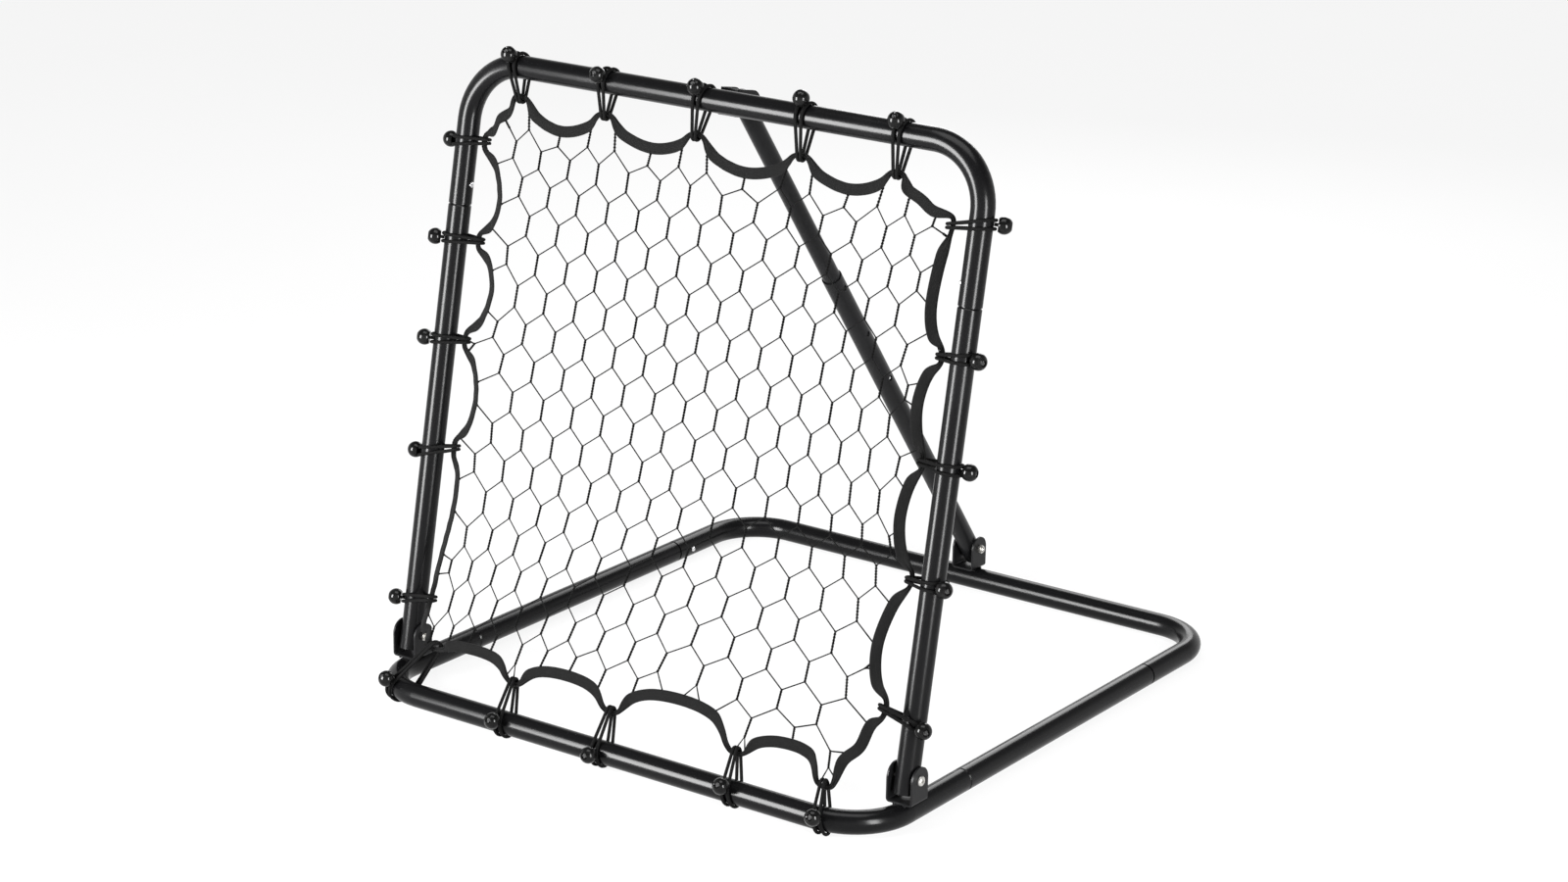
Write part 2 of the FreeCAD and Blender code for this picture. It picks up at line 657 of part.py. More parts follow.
def folded(face, thickness):
    """Sheet with a face's outline, drawn in (x, height), that follows the net over its fold."""
    box = face.BoundBox
    span = 2 * frame_width
    lap = Part.makePlane(span, span, Vector(-span / 2, fold_height - thickness, 0))
    lower_lap = Part.makePlane(span, span, Vector(-span / 2, fold_height + thickness - span, 0))
    upright = Rotation(X_AXIS, 90)
    upper = face.common(lap).extrude(Z_AXIS * thickness)
    upper = placed(upper, Placement(Vector(0, thickness / 2, 0), upright))
    lower = face.common(lower_lap)
    lower.translate(Vector(0, -fold_height, 0))
    lower = lower.extrude(Z_AXIS * thickness)
    lower = placed(lower, Placement(Vector(0, thickness / 2, 0), upright))
    lower = placed(lower, Placement(fold_line, Rotation(X_AXIS, -math.degrees(fold_angle))))
    above = Part.makeBox(span, span, span, Vector(-span / 2, -span / 2, 0))
    below = Part.makeBox(span, span, span, Vector(-span / 2, -span / 2, -span))
    bisector = Placement(fold_line, Rotation(X_AXIS, -math.degrees(fold_angle) / 2))
    upper = upper.common(placed(above, bisector))
    lower = lower.common(placed(below, bisector))
    return upper.fuse(lower)


def net_and_strap():
    line = strap_centre()
    outer = flat_face(offset_loop(line, lambda half: half))
    inner = flat_face(offset_loop(line, lambda half: -half))
    seam = flat_face(offset_loop(line, lambda half: strap_seam_depth - half))
    holes = mesh_holes(inner)
    net = folded(seam.cut(Part.makeCompound(holes)).cut(loop_passages()), net_thickness)
    strap = folded(outer.cut(inner), strap_thickness).cut(folded(seam, net_thickness))
    print("meshes in the net", len(holes))
    return net, strap


# Elastic loops and balls

def elastic_loop(tube_point, tube_axis, strap_point, round_tube, round_strap):
    """Two strands round a tube and round the gathered strap, closer together at the strap."""
    distance, ahead, sideways = loop_plane(tube_point, tube_axis, strap_point)
    contact = math.acos((round_tube - round_strap) / distance)
    narrowing = (cord_spread - cord_spread_at_net) / (distance + round_strap)
    strands = []
    for side in (-1, 1):
        way = ahead - tube_axis * (side * narrowing)
        centre = tube_point + tube_axis * (side * cord_spread)
        line = bend_points(centre, way, sideways, round_tube, contact, 2 * math.pi - contact)
        line += bend_points(centre + way * distance, way, sideways, round_strap, -contact, contact)
        strands.append(closed_cord(line, unit(way.cross(sideways))))
    return strands


def bend_points(centre, ahead, sideways, radius, start, end):
    """Corners of a cord that bends round a centre in short flat lengths, none of them inside the radius."""
    steps = math.ceil(math.degrees(end - start) / cord_bend_step)
    step = (end - start) / steps
    corner = radius / math.cos(step / 2)
    points = []
    for k in range(steps):
        angle = start + (k + 0.5) * step
        points.append(centre + (ahead * math.cos(angle) + sideways * math.sin(angle)) * corner)
    return points


def closed_cord(line, across):
    """Cord of cord_sides flat sides along a closed flat line. Across is square to the line's plane."""
    sections = []
    for before, here, after in zip(line[-1:] + line[:-1], line, line[1:] + line[:1]):
        arriving = unit(here - before)
        leaving = unit(after - here)
        mitre = unit(across.cross(unit(arriving + leaving)))
        widening = 1 / mitre.dot(across.cross(arriving))
        ring = []
        for k in range(cord_sides):
            angle = 2 * math.pi * (k + 0.5) / cord_sides
            beside = mitre * (cord_radius * math.cos(angle) * widening)
            ring.append(here + beside + across * (cord_radius * math.sin(angle)))
        sections.append(ring)
    flats = []
    for ring, following in zip(sections, sections[1:] + sections[:1]):
        for k in range(cord_sides):
            other = (k + 1) % cord_sides
            flats.append(flat_face([ring[k], ring[other], following[other], following[k]]))
    return Part.makeSolid(Part.makeShell(flats))


def tie_ball(tube_point, tube_axis, strap_point, round_tube, outward):
    """Ball on a neck that stands between the two strands, with an open mouth for the cord's knot."""
    distance, ahead, sideways = loop_plane(tube_point, tube_axis, strap_point)
    slant = ahead.dot(tube_axis)
    foot_point = tube_point + tube_axis * (slant * round_tube * outward.dot(ahead))
    underside = cord_reach + cord_clearance + round_tube - around_tube
    neck = cord_spread * math.cos(math.atan(slant * outward.dot(sideways))) - cord_radius - cord_clearance
    half_chord = math.sqrt(ball_radius ** 2 - (ball_distance - underside) ** 2)
    mouth = ball_mouth_diameter / 2
    rim = math.sqrt(ball_radius ** 2 - (mouth + ball_mouth_chamfer) ** 2)
    floor = ball_distance + ball_radius - ball_mouth_depth
    shell = Part.Arc(Vector(half_chord, 0, underside), Vector(ball_radius, 0, ball_distance),
                     Vector(mouth + ball_mouth_chamfer, 0, ball_distance + rim))
    foot = tube_radius + cord_clearance
    outline = [Vector(0, 0, foot), Vector(neck, 0, foot), Vector(neck, 0, underside),
               Vector(half_chord, 0, underside), shell,
               Vector(mouth + ball_mouth_chamfer, 0, ball_distance + rim),
               Vector(mouth, 0, ball_distance + rim - ball_mouth_chamfer), Vector(mouth, 0, floor),
               Vector(0, 0, floor)]
    return placed(revolved(outline), along(outward, foot_point))


def ties(name):
    """Loops and balls of one side, in the upright frame."""
    cords = []
    balls = []
    for tube_point, tube_axis, strap_point, round_tube, round_strap, outward, gathered in loop_seats(name):
        cords.extend(elastic_loop(tube_point, tube_axis, strap_point, round_tube, round_strap))
        balls.append(tie_ball(tube_point, tube_axis, strap_point, round_tube, outward))
    return Part.makeCompound(cords), Part.makeCompound(balls)


# Assemblies

def base_pieces():
    rear_leg_end = base_length - rear_leg_reach
    front_path = rounded_path([Vector(-half_width, front_leg_reach, axis_height),
                               Vector(-half_width, 0, axis_height), Vector(half_width, 0, axis_height),
                               Vector(half_width, front_leg_reach, axis_height)], bend_radius)
    rear_path = rounded_path([Vector(-half_width, rear_leg_end, axis_height),
                              Vector(-half_width, base_length, axis_height),
                              Vector(half_width, base_length, axis_height),
                              Vector(half_width, rear_leg_end, axis_height)], bend_radius)
    front_tube = bent_tube(front_path)
    rear_tube = bent_tube(rear_path)
    front_outside = round_bar(front_path, tube_radius)
    pieces = {}
    bolts = []
    nuts = []
    button, spring = tube_button()
    for name, side in (("left", -1), ("right", 1)):
        axis = Vector(side * half_width, 0, axis_height)
        side_tube = placed(swaged_tube(front_leg_reach, rear_leg_end, True), along(Y_AXIS, axis))
        for end, height, towards in (("front", front_leg_reach - button_inset, 1),
                                     ("rear", rear_leg_end + button_inset, -1)):
            center = axis + Y_AXIS * height
            cutter = button_bore(center, X_AXIS * -side)
            side_tube = side_tube.cut(cutter)
            if end == "front":
                front_tube = front_tube.cut(cutter)
            else:
                rear_tube = rear_tube.cut(cutter)
            turn = Rotation(X_AXIS * -side, Z_AXIS, Y_AXIS * -towards, "XZY")
            pieces[f"button_base_{end}_{name}"] = placed(button, Placement(center, turn))
            pieces[f"spring_base_{end}_{name}"] = placed(spring, Placement(center, turn))
        pieces[f"base_side_tube_{name}"] = side_tube
        seat = hinge + X_AXIS * (side * half_width)
        ears = placed(bracket(tube_diameter + 2 * bracket_side_gap, False), Placement(seat, Rotation()))
        pieces[f"hinge_bracket_{name}"] = ears.cut(front_outside)
        bolt, nut = bolt_and_nut(seat, tube_diameter + 2 * bracket_side_gap + 2 * plate, side)
        bolts.append(bolt)
        nuts.append(nut)
    pieces["base_front_tube"] = front_tube
    pieces["base_rear_tube"] = rear_tube
    pieces["hinge_bolts"] = Part.makeCompound(bolts)
    pieces["hinge_nuts"] = Part.makeCompound(nuts)
    foot_gap = brace_lower_diameter + 2 * brace_side_gap
    pieces["brace_foot_bracket"] = placed(bracket(foot_gap, True), Placement(foot_pivot, Rotation()))
    pieces["foot_bolt"], pieces["foot_nut"] = bolt_and_nut(foot_pivot, foot_gap + 2 * plate, -1)
    cords, balls = ties("bottom")
    span = 2 * base_length
    ground = Part.makeBox(span, span, tube_diameter, Vector(-span / 2, -span / 2, -tube_diameter))
    pieces["tie_cords_bottom"] = placed(cords, lean_back).cut(placed(ground, settle.inverse()))
    pieces["tie_balls_bottom"] = placed(balls, lean_back)
    return pieces


def net_frame_pieces():
    """Drawn upright, with the hinge axis at the origin."""
    leg_end = upright_height - top_leg_reach
    top_path = rounded_path([Vector(-half_width, 0, leg_end), Vector(-half_width, 0, upright_height),
                             Vector(half_width, 0, upright_height), Vector(half_width, 0, leg_end)],
                            bend_radius)
    top_tube = bent_tube(top_path)
    pieces = {}
    plugs = []
    button, spring = tube_button()
    for name, side in (("left", -1), ("right", 1)):
        axis = X_AXIS * (side * half_width)
        post = placed(swaged_tube(-tube_end_drop, leg_end, False), Placement(axis, Rotation()))
        post = post.cut(cylinder(bolt_hole, axis - X_AXIS * tube_diameter, axis + X_AXIS * tube_diameter))
        center = axis + Z_AXIS * (leg_end + button_inset)
        cutter = button_bore(center, X_AXIS * -side)
        pieces[f"frame_post_{name}"] = post.cut(cutter)
        top_tube = top_tube.cut(cutter)
        turn = Rotation(X_AXIS * -side, Y_AXIS, Z_AXIS, "XZY")
        pieces[f"button_frame_{name}"] = placed(button, Placement(center, turn))
        pieces[f"spring_frame_{name}"] = placed(spring, Placement(center, turn))
        plugs.append(cup_plug(tube_bore, axis - Z_AXIS * tube_end_drop))
    pieces["frame_top_tube"] = top_tube
    pieces["post_end_plugs"] = Part.makeCompound(plugs)
    head_gap = brace_upper_diameter + 2 * brace_side_gap
    head_seat = Vector(0, head_offset, upright_height)
    behind_rail = Placement(head_seat, Rotation(X_AXIS, -90))
    pieces["brace_head_bracket"] = placed(bracket(head_gap, True), behind_rail)
    pieces["head_bolt"], pieces["head_nut"] = bolt_and_nut(head_seat, head_gap + 2 * plate, -1)
    pieces["net_mesh"], pieces["net_strap"] = net_and_strap()
    for name in ("top", "left", "right"):
        pieces[f"tie_cords_{name}"], pieces[f"tie_balls_{name}"] = ties(name)
    return {name: placed(shape, lean_back) for name, shape in pieces.items()}


def cup_plug(bore, end):
    """Cup pressed into a tube's open end, flush with it."""
    radius = bore - swage_clearance
    cup = Part.makeCylinder(radius, plug_depth, end)
    return cup.cut(Part.makeCylinder(radius - plug_wall, plug_depth, end + Z_AXIS * plug_wall))


def linkage_error(tilt):
    """Where the head bolt lies in the brace when the brace follows a tilt in steady proportion: across
    the brace, and along it from the bolt's place at rest."""
    head = hinge + turned(head_arm, tilt)
    line = turned(brace_line, tilt * foot_turn_per_tilt)
    from_foot = head - foot_pivot
    across = from_foot.dot(Vector(0, -line.z, line.y))
    return across, from_foot.dot(line) - brace_length - tilt * slide_per_tilt


def brace_pieces():
    """Drawn upright, with the foot bolt at the origin."""
    lower_radius = brace_lower_diameter / 2
    upper_radius = brace_upper_diameter / 2
    rim = brace_hole_start + (brace_hole_count - 1) * brace_hole_pitch + brace_rim_margin
    foot = ORIGIN - Z_AXIS * brace_end_drop
    lower = cylinder(lower_radius, foot, Z_AXIS * rim).cut(cylinder(brace_lower_bore, foot, Z_AXIS * rim))
    lower = lower.cut(cylinder(bolt_hole, X_AXIS * -tube_diameter, X_AXIS * tube_diameter))
    for k in range(brace_hole_count):
        level = Z_AXIS * (brace_hole_start + k * brace_hole_pitch)
        lower = lower.cut(cylinder(brace_hole_diameter / 2, level, level + X_AXIS * tube_diameter))
    upper_start = Z_AXIS * (brace_button_height - brace_insert)
    upper_end = Z_AXIS * (brace_length + brace_head_reach)
    upper = cylinder(upper_radius, upper_start, upper_end)
    upper = upper.cut(cylinder(brace_upper_bore, upper_start, upper_end))
    errors = [linkage_error(tilt_limit * share / 10) for share in range(-10, 11)]
    sideways = max(abs(across) for across, lengthwise in errors) + slot_allowance
    slot_half = bolt_hole + sideways
    slot_start = brace_length - sideways
    slot_end = brace_length + min(lengthwise for across, lengthwise in errors) - slot_allowance
    slot = Part.makeBox(2 * tube_diameter, 2 * slot_half, slot_start - slot_end,
                        Vector(-tube_diameter, -slot_half, slot_end))
    for height in (slot_start, slot_end):
        end = Z_AXIS * height
        slot = slot.fuse(cylinder(slot_half, end - X_AXIS * tube_diameter, end + X_AXIS * tube_diameter))
    level = Z_AXIS * brace_button_height
    upper = upper.cut(slot).cut(cylinder(button_hole, level, level + X_AXIS * tube_diameter))
    root = collar_seat(brace_upper_bore) - brace_button_travel - button_collar_height
    button = snap_button(root, brace_lower_bore - running_clearance)
    spring = leaf_spring(root, brace_upper_bore)
    place = Placement(level, Rotation())
    pieces = {"brace_lower_tube": lower, "brace_upper_tube": upper,
              "brace_foot_plug": cup_plug(brace_lower_bore, foot), "brace_head_plug": domed_plug(upper_end),
              "button_brace": placed(button, place), "spring_brace": placed(spring, place)}
    print("head slot", round(slot_half * 2, 2), "wide,", round(slot_start - slot_end, 2), "between centres")
    return {name: placed(shape, stand_brace) for name, shape in pieces.items()}


def domed_plug(end):
    """Plug with a round head on the upper tube's end."""
    stem = brace_upper_bore - swage_clearance
    rim = brace_upper_diameter / 2
    depth = brace_head_reach - bolt_hole - plug_bolt_gap
    outline = [Vector(0, 0, -depth), Vector(stem, 0, -depth), Vector(stem, 0, 0), Vector(rim, 0, 0),
               Vector(rim * 0.93, 0, brace_dome_height * 0.4),
               Vector(rim * 0.72, 0, brace_dome_height * 0.78), Vector(rim * 0.4, 0, brace_dome_height),
               Vector(0, 0, brace_dome_height)]
    return placed(revolved(outline), Placement(end, Rotation()))


def main():
    os.makedirs("parts", exist_ok=True)
    pieces = {**base_pieces(), **net_frame_pieces(), **brace_pieces()}
    for name, shape in sorted(pieces.items()):
        shape = placed(shape, settle)
        shape.exportStep(f"parts/{name}.step")
        print(f"{name:26s} solids {len(shape.Solids):3d} volume {shape.Volume:10.0f} valid {shape.isValid()}")
    for name, point in (("hinge", hinge), ("foot", foot_pivot), ("head", head_pivot)):
        print(name, "pivot at", [round(value, 3) for value in settle.multVec(point)])
    line = [round(value, 6) for value in ground_turn.multVec(brace_line)]
    print("brace", round(brace_length, 3), "long, along", line)
    print("slide per radian", round(slide_per_tilt, 4), "foot turn", round(foot_turn_per_tilt, 6),
          "tilt limit", round(math.degrees(tilt_limit), 4))


main()
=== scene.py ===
import json
import math

import bpy
import numpy as np
from bpy.props import FloatProperty, FloatVectorProperty, IntProperty, PointerProperty
from mathutils import Matrix, Vector


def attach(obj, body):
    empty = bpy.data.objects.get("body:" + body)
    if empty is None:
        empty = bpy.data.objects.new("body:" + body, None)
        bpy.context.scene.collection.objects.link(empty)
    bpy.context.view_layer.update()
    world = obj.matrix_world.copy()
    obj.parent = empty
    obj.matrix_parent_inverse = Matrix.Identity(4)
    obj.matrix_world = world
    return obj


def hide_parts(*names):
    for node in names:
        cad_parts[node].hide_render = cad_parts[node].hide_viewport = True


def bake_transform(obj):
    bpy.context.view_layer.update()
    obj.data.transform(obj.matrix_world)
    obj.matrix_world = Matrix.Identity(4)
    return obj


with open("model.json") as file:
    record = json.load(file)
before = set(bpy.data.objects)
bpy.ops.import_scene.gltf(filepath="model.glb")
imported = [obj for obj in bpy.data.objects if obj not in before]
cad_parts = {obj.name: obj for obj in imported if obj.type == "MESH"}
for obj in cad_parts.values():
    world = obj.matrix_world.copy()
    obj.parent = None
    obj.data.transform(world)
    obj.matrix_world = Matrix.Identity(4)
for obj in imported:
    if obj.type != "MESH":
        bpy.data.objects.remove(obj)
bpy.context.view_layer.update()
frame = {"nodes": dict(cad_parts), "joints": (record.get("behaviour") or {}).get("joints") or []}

bl_info = {
    "name": "Pitch back rebounder",
    "version": (1, 0, 0),
    "blender": (4, 5, 0),
    "location": "View3D > Sidebar > Rebounder",
    "description": "Net, binding strap, elastic loops and finishes of a pitch back rebounder",
    "category": "Add Mesh",
}

# Places on the net are in millimetres: x to the right and height up the posts from the hinge axis.
MM = 0.001
HINGE = Vector(next(joint["pos_m"] for joint in frame["joints"] if joint["name"] == "frame_tilt")) / MM
LEAN = math.radians(10.8467)
HALF_WIDTH = 457.5              # to a post's axis
TUBE_RADIUS = 17.5
RAIL_HEIGHT = 886.6             # to the top rail's axis
STRAIGHT_HALF = 367.5           # of the top and the front rail
POST_STRAIGHT = 796.6           # where a post bends into the top rail
BEND_RADIUS = 90.0
FRONT_RAIL = Vector((0, -473.573, 22.15))  # a point of its axis in the row frame
GROUND_SLOPE = math.radians(0.2766629)
FRAME_TURN = Matrix.Rotation(-LEAN, 3, "X")
BASE_TURN = Matrix.Rotation(-GROUND_SLOPE, 3, "X")

# The net leaves the posts' plane in a soft bend, runs forward to the front rail and hangs slack to the rear.
BEND_START = 306.0
BEND_LENGTH = 120.0
BEND_ANGLE = math.radians(13.44)
NET_LOW = -18.75                # height over the front rail, from which reach is measured there
NET_SLACK = 6.0

# Loops along each side, as (place, reach, aside, ball's angle), clockwise, and the strap between them, as
# (place, reach). Place is a share of the straight rail and reach the way from it to the strap. Aside is how
# much further along the tube the loop sits than on the strap.
TIES = {
    "top": ((-0.990, 27.5, -8.5, 34.0), (-0.555, 30.5, -0.2, 19.0), (-0.100, 36.5, 6.0, 33.0),
            (0.405, 38.5, 0.3, 54.0), (0.850, 38.5, 2.3, 36.0)),
    "right": ((0.971, 29.0, 8.2, -31.0), (0.744, 18.0, 2.9, 16.0), (0.555, 26.0, -0.5, -11.0),
              (0.346, 19.0, 0.4, 28.0), (0.115, 12.0, -20.0, 33.0)),
    "bottom": ((0.990, -14.0, 13.8, 23.0), (0.568, -5.0, 12.7, 32.0), (-0.055, 0.0, 5.6, 9.0),
               (-0.555, 0.0, 7.2, 22.0), (-0.990, 17.5, -45.5, 38.0)),
    "left": ((0.085, 44.0, -17.1, 30.0), (0.375, 24.0, -10.8, 5.0), (0.583, 21.0, -3.6, 31.0),
             (0.775, 27.0, -2.1, 40.0), (0.963, 18.0, -3.5, -1.0)),
}
SAGS = {
    "top": ((-0.770, 66.5), (-0.308, 66.5), (0.152, 76.5), (0.640, 72.5)),
    "right": ((0.816, 45.0), (0.650, 47.0), (0.443, 51.0), (0.222, 50.0)),
    "bottom": ((0.750, 26.0), (0.145, 42.0), (-0.395, 30.0), (-0.860, 29.0)),
    "left": ((0.263, 42.0), (0.479, 53.0), (0.688, 60.0), (0.855, 57.0)),
}
CORNERS = {"top": (84.0, 68.0), "right": (36.0, 50.0), "bottom": (44.0, 43.0), "left": (39.0, 66.0)}
STEPS = {"top": (1, 0), "right": (0, -1), "bottom": (-1, 0), "left": (0, 1)}

# A loop bunches the strap for a way to either side. At a shoulder beyond, the strap is wide again: at these
# shares of the way along to the sag's middle and of the sag's depth.
GATHER_HALF = 9.0
SHOULDER_ALONG = 0.30
SHOULDER_DOWN = 0.62
FULL_SHOULDER = {"bottom": 0.86}

# The net before it is pulled straight: where the uprights of its top row are sewn in, how each row of
# uprights lies to the one above, and how the rows below a height fan out, for each millimetre below it.
TOP_SEWN = (-390, -346, -283, -227, -183, -114, -59, -15, 56, 127, 171, 236, 293, 337)
NET_ROWS = 17
NET_COLUMNS = range(-9, 10)
FIRST_UPRIGHT = -11.09          # x of the first row's middle upright
FIRST_ROW = 804.78              # height of the first row
ROW_STEP = 52.9
ROW_DRIFT = -4.767
ROW_SLOPE = -0.0236
FAN_START = 357.0
FAN_HALF = 400.0
FAN_SHIFT = 0.0147
FAN_WIDEN = 0.1444
FAN_BOW = 0.2877
FAN_LIFT = -0.0232
UPRIGHT_LENGTH = 29.5
UPRIGHT_FORCE = 1.546           # against 1 in a slanted cord

# A net cord's section and knots, in strand radii where they aren't counts.
STRAND_SIDES = 6
TWIST_POINTS = 15
STRAND_ASIDE = 0.8
KNOT_BEAD = 1.7

# The strap. Pleats show where it is bunched, puckers at its edges, and it cups where it is wide.
STRAP_SPACING = 3.6
STRAP_THICK = 3.2
STRAP_BUNCHED = 0.25            # more to either side where it is bunched
STRAP_ROLL = math.radians(32)
STRAP_FACES = 14
PLEAT_HEIGHT = 1.5
PLEAT_WAVES = 2.4
PLEAT_RUN = 21.0
PUCKER_HEIGHT = 0.35
PUCKER_RUN = 4.1
PUCKER_SHIFT = 1.7
PUCKER_SHIFT_RUN = 19.0
CUP_HEIGHT = 0.9
CUP_RUN = 47.0
STITCH_ROWS = (-0.66, 0.66)     # shares across the strap
STITCH_RADIUS = 0.32
STITCH_SHARE = 0.36             # of the pitch to either side

# The elastic loops and the knots in their balls
LOOP_ROUND_TUBE = 20.1          # to the middle of the cord, as the two below
LOOP_ON_BEND = 0.45
LOOP_ROUND_STRAP = 6.7
TURNS_ON_TUBE = 40
TURNS_ON_STRAP = 20
SPREAD_ON_TUBE = 5.2            # half the distance between a loop's strands
SPREAD_AT_NET = 2.6
BLEND_START = 24.0              # from the front rail's axis towards the middle of the lower loops
KNOT_REACH = 39.4
KNOT_CORD = 1.3
KNOT_SIZE = 2.9
KNOT_POINTS = 36
KNOT_WAVE = 0.36                # these three in knot sizes
KNOT_MIDDLE = 0.62
KNOT_RISE = 0.34

# Finishes: inputs of the surface that are the same all over it, and what the patterns need.
COAT = {"Specular IOR Level": 0.13}
FABRIC = {"Specular IOR Level": 0.05}
WEBBING = {**FABRIC, "Sheen Weight": 0.04, "Sheen Roughness": 0.5}
BALL = {"Specular IOR Level": 0.16}
METAL = {"Metallic": 1.0}
COATED = {                      # (starts of the nodes' names, brightness, roughness)
    "powder_gloss": (("base_", "frame_"), 1.0, 0.22),
    "powder_brace": (("brace_lower_tube", "brace_upper_tube"), 1.6, 0.3),
    "powder_bracket": (("hinge_bracket", "brace_foot_bracket", "brace_head_bracket"), 1.8, 0.36),
}
ZINC = {"colour": (0.62, 0.61, 0.58), "roughness": 0.3}
CHROME = {"colour": (0.72, 0.72, 0.73), "roughness": 0.12}
SPRING_STEEL = {"colour": (0.33, 0.34, 0.37), "roughness": 0.28}
BALL_PLASTIC = {"colour": (0.0025, 0.0025, 0.0025), "roughness": 0.1, "grain": 0.000002}
PLUG_PLASTIC = {"colour": (0.02, 0.02, 0.021), "roughness": 0.5, "grain": 0.00003}

# The stage, in metres, degrees and watts
FLOOR_HALF = 20.0
FLOOR_GREYS = (0.78, 0.84)
FLOOR_WHITE = 0.86
SKY_DIM = 0.2
SKY_FADE = (0.2, 0.64)
LAMP_AIM = Vector((0, 0, 0.45))
LAMPS = {                       # (azimuth, elevation, distance, width, height, power)
    "left_softbox": (-26, 8, 3.2, 1.0, 1.7, 300),
    "right_softbox": (63, 8, 3.2, 0.7, 1.7, 165),
    "top_softbox": (20, 78, 3.0, 2.4, 1.6, 60),
    "rear_softbox": (200, 25, 3.4, 1.6, 1.6, 45),
}
CAMERA_DIRECTION = (35.45335, 17.80339)
CAMERA_ROLL = math.radians(0.96929)
CAMERA_AIM = Vector((-0.0032908, 0.4, 0.3986142))
CAMERA_DISTANCE = 5.482324
CAMERA_OFFSET = Vector((0, -0.473658, 0.0046502))
CAMERA_SHIFT = (0.0075, -0.00175)
SENSOR_WIDTH = 36.0
LENS_PER_WIDTH = 3709.72 / 1600  # focal length in picture widths


class RebounderSizes(bpy.types.PropertyGroup):
    """Sizes and colours of the soft pieces and the finishes."""

    strand_radius: FloatProperty(
        name="Net strand radius", description="Radius of one strand of the net",
        default=0.00125, min=0.0003, max=0.002, precision=5, unit="LENGTH")
    twist_turns: FloatProperty(
        name="Twist turns", description="Turns of the two strands in one upright of the net",
        default=3.5, min=0.0, max=10.0)
    mesh_pitch: FloatProperty(
        name="Mesh pitch", description="Width of one mesh of the net",
        default=0.0564, min=0.03, max=0.1, unit="LENGTH")
    strap_width: FloatProperty(
        name="Strap width", description="Full width of the folded binding strap",
        default=0.017, min=0.01, max=0.03, unit="LENGTH")
    strap_gathered: FloatProperty(
        name="Gathered width", description="Width of the strap where a loop holds it",
        default=0.0074, min=0.005, max=0.017, unit="LENGTH")
    stitch_pitch: FloatProperty(
        name="Stitch pitch", description="Length of strap for each stitch",
        default=0.0042, min=0.002, max=0.01, precision=4, unit="LENGTH")
    loop_radius: FloatProperty(
        name="Elastic radius", description="Radius of the elastic cord",
        default=0.0025, min=0.001, max=0.004, precision=4, unit="LENGTH")
    loop_sides: IntProperty(
        name="Elastic sides", description="Faces round the elastic cord", default=10, min=6, max=24)
    steel_colour: FloatVectorProperty(
        name="Powder coat", description="Colour of the powder-coated tubes",
        default=(0.0025, 0.0025, 0.0027), min=0.0, max=1.0, subtype="COLOR")
    fabric_colour: FloatVectorProperty(
        name="Fabric", description="Colour of the net, the strap and the elastic",
        default=(0.003, 0.003, 0.003), min=0.0, max=1.0, subtype="COLOR")


class Field:
    """A value in a node tree. Arithmetic on it adds Math nodes."""

    def __init__(self, tree, socket=None):
        self.tree = tree
        self.socket = socket

    def add(self, kind, settings=None, inputs=None, output=0):
        """A node of any type: its settings first, then values or links by socket name or number."""
        node = self.tree.nodes.new(kind)
        for name, value in (settings or {}).items():
            setattr(node, name, value)
        for name, value in (inputs or {}).items():
            for item in value if isinstance(value, list) else [value]:
                if isinstance(item, Field):
                    self.tree.links.new(item.socket, node.inputs[name])
                else:
                    node.inputs[name].default_value = item
        return Field(self.tree, node.outputs[output]) if node.outputs else None

    def maths(self, operation, *values):
        return self.add("ShaderNodeMath", {"operation": operation}, dict(enumerate((self, *values))))

    def __add__(self, other):
        return self.maths("ADD", other)

    def __sub__(self, other):
        return self.maths("SUBTRACT", other)

    def __rsub__(self, other):
        return self * -1 + other

    def __mul__(self, other):
        return self.maths("MULTIPLY", other)

    def __gt__(self, other):
        return self.maths("GREATER_THAN", other)

    __radd__ = __add__
    __rmul__ = __mul__

    def noise(self, vector, scale, detail):
        return self.add("ShaderNodeTexNoise", None, {"Vector": vector, "Scale": scale, "Detail": detail})

    def ramp(self, low, high):
        """0 below low, 1 above high and smooth between them."""
        return self.add("ShaderNodeMapRange", {"interpolation_type": "SMOOTHSTEP"},
                        {"Value": self, "From Min": low, "From Max": high})

    def other(self, output):
        """Another output of the same node."""
        return Field(self.tree, self.socket.node.outputs[output])

    def shades(self, colour, low, high):
        """Colour from low to high times a given one, as this value goes from 0 to 1."""
        dark, light = ((*(min(value * gain, 1.0) for value in colour), 1.0) for gain in (low, high))
        return self.add("ShaderNodeMix", {"data_type": "RGBA"}, {0: self, 6: dark, 7: light}, 2)

    def place(self):
        return self.add("ShaderNodeTexCoord", output="Object")

    def map_axes(self):
        """The two coordinates of the piece's own UV map, in metres along it and across or round it."""
        split = self.add("ShaderNodeSeparateXYZ", None, {0: self.add("ShaderNodeTexCoord", output="UV")})
        return split, split.other(1)

    def store(self, geometry, kind, domain, name, value):
        """The geometry with a named attribute."""
        return self.add("GeometryNodeStoreNamedAttribute", {"data_type": kind, "domain": domain},
                        {"Geometry": geometry, "Name": name, "Value": value})

    def stored(self, kind, name):
        return self.add("GeometryNodeInputNamedAttribute", {"data_type": kind}, {"Name": name})


def empty_tree(owner):
    """Field for the nodes of a new material or world."""
    owner.use_nodes = True
    owner.node_tree.nodes.clear()
    return Field(owner.node_tree)


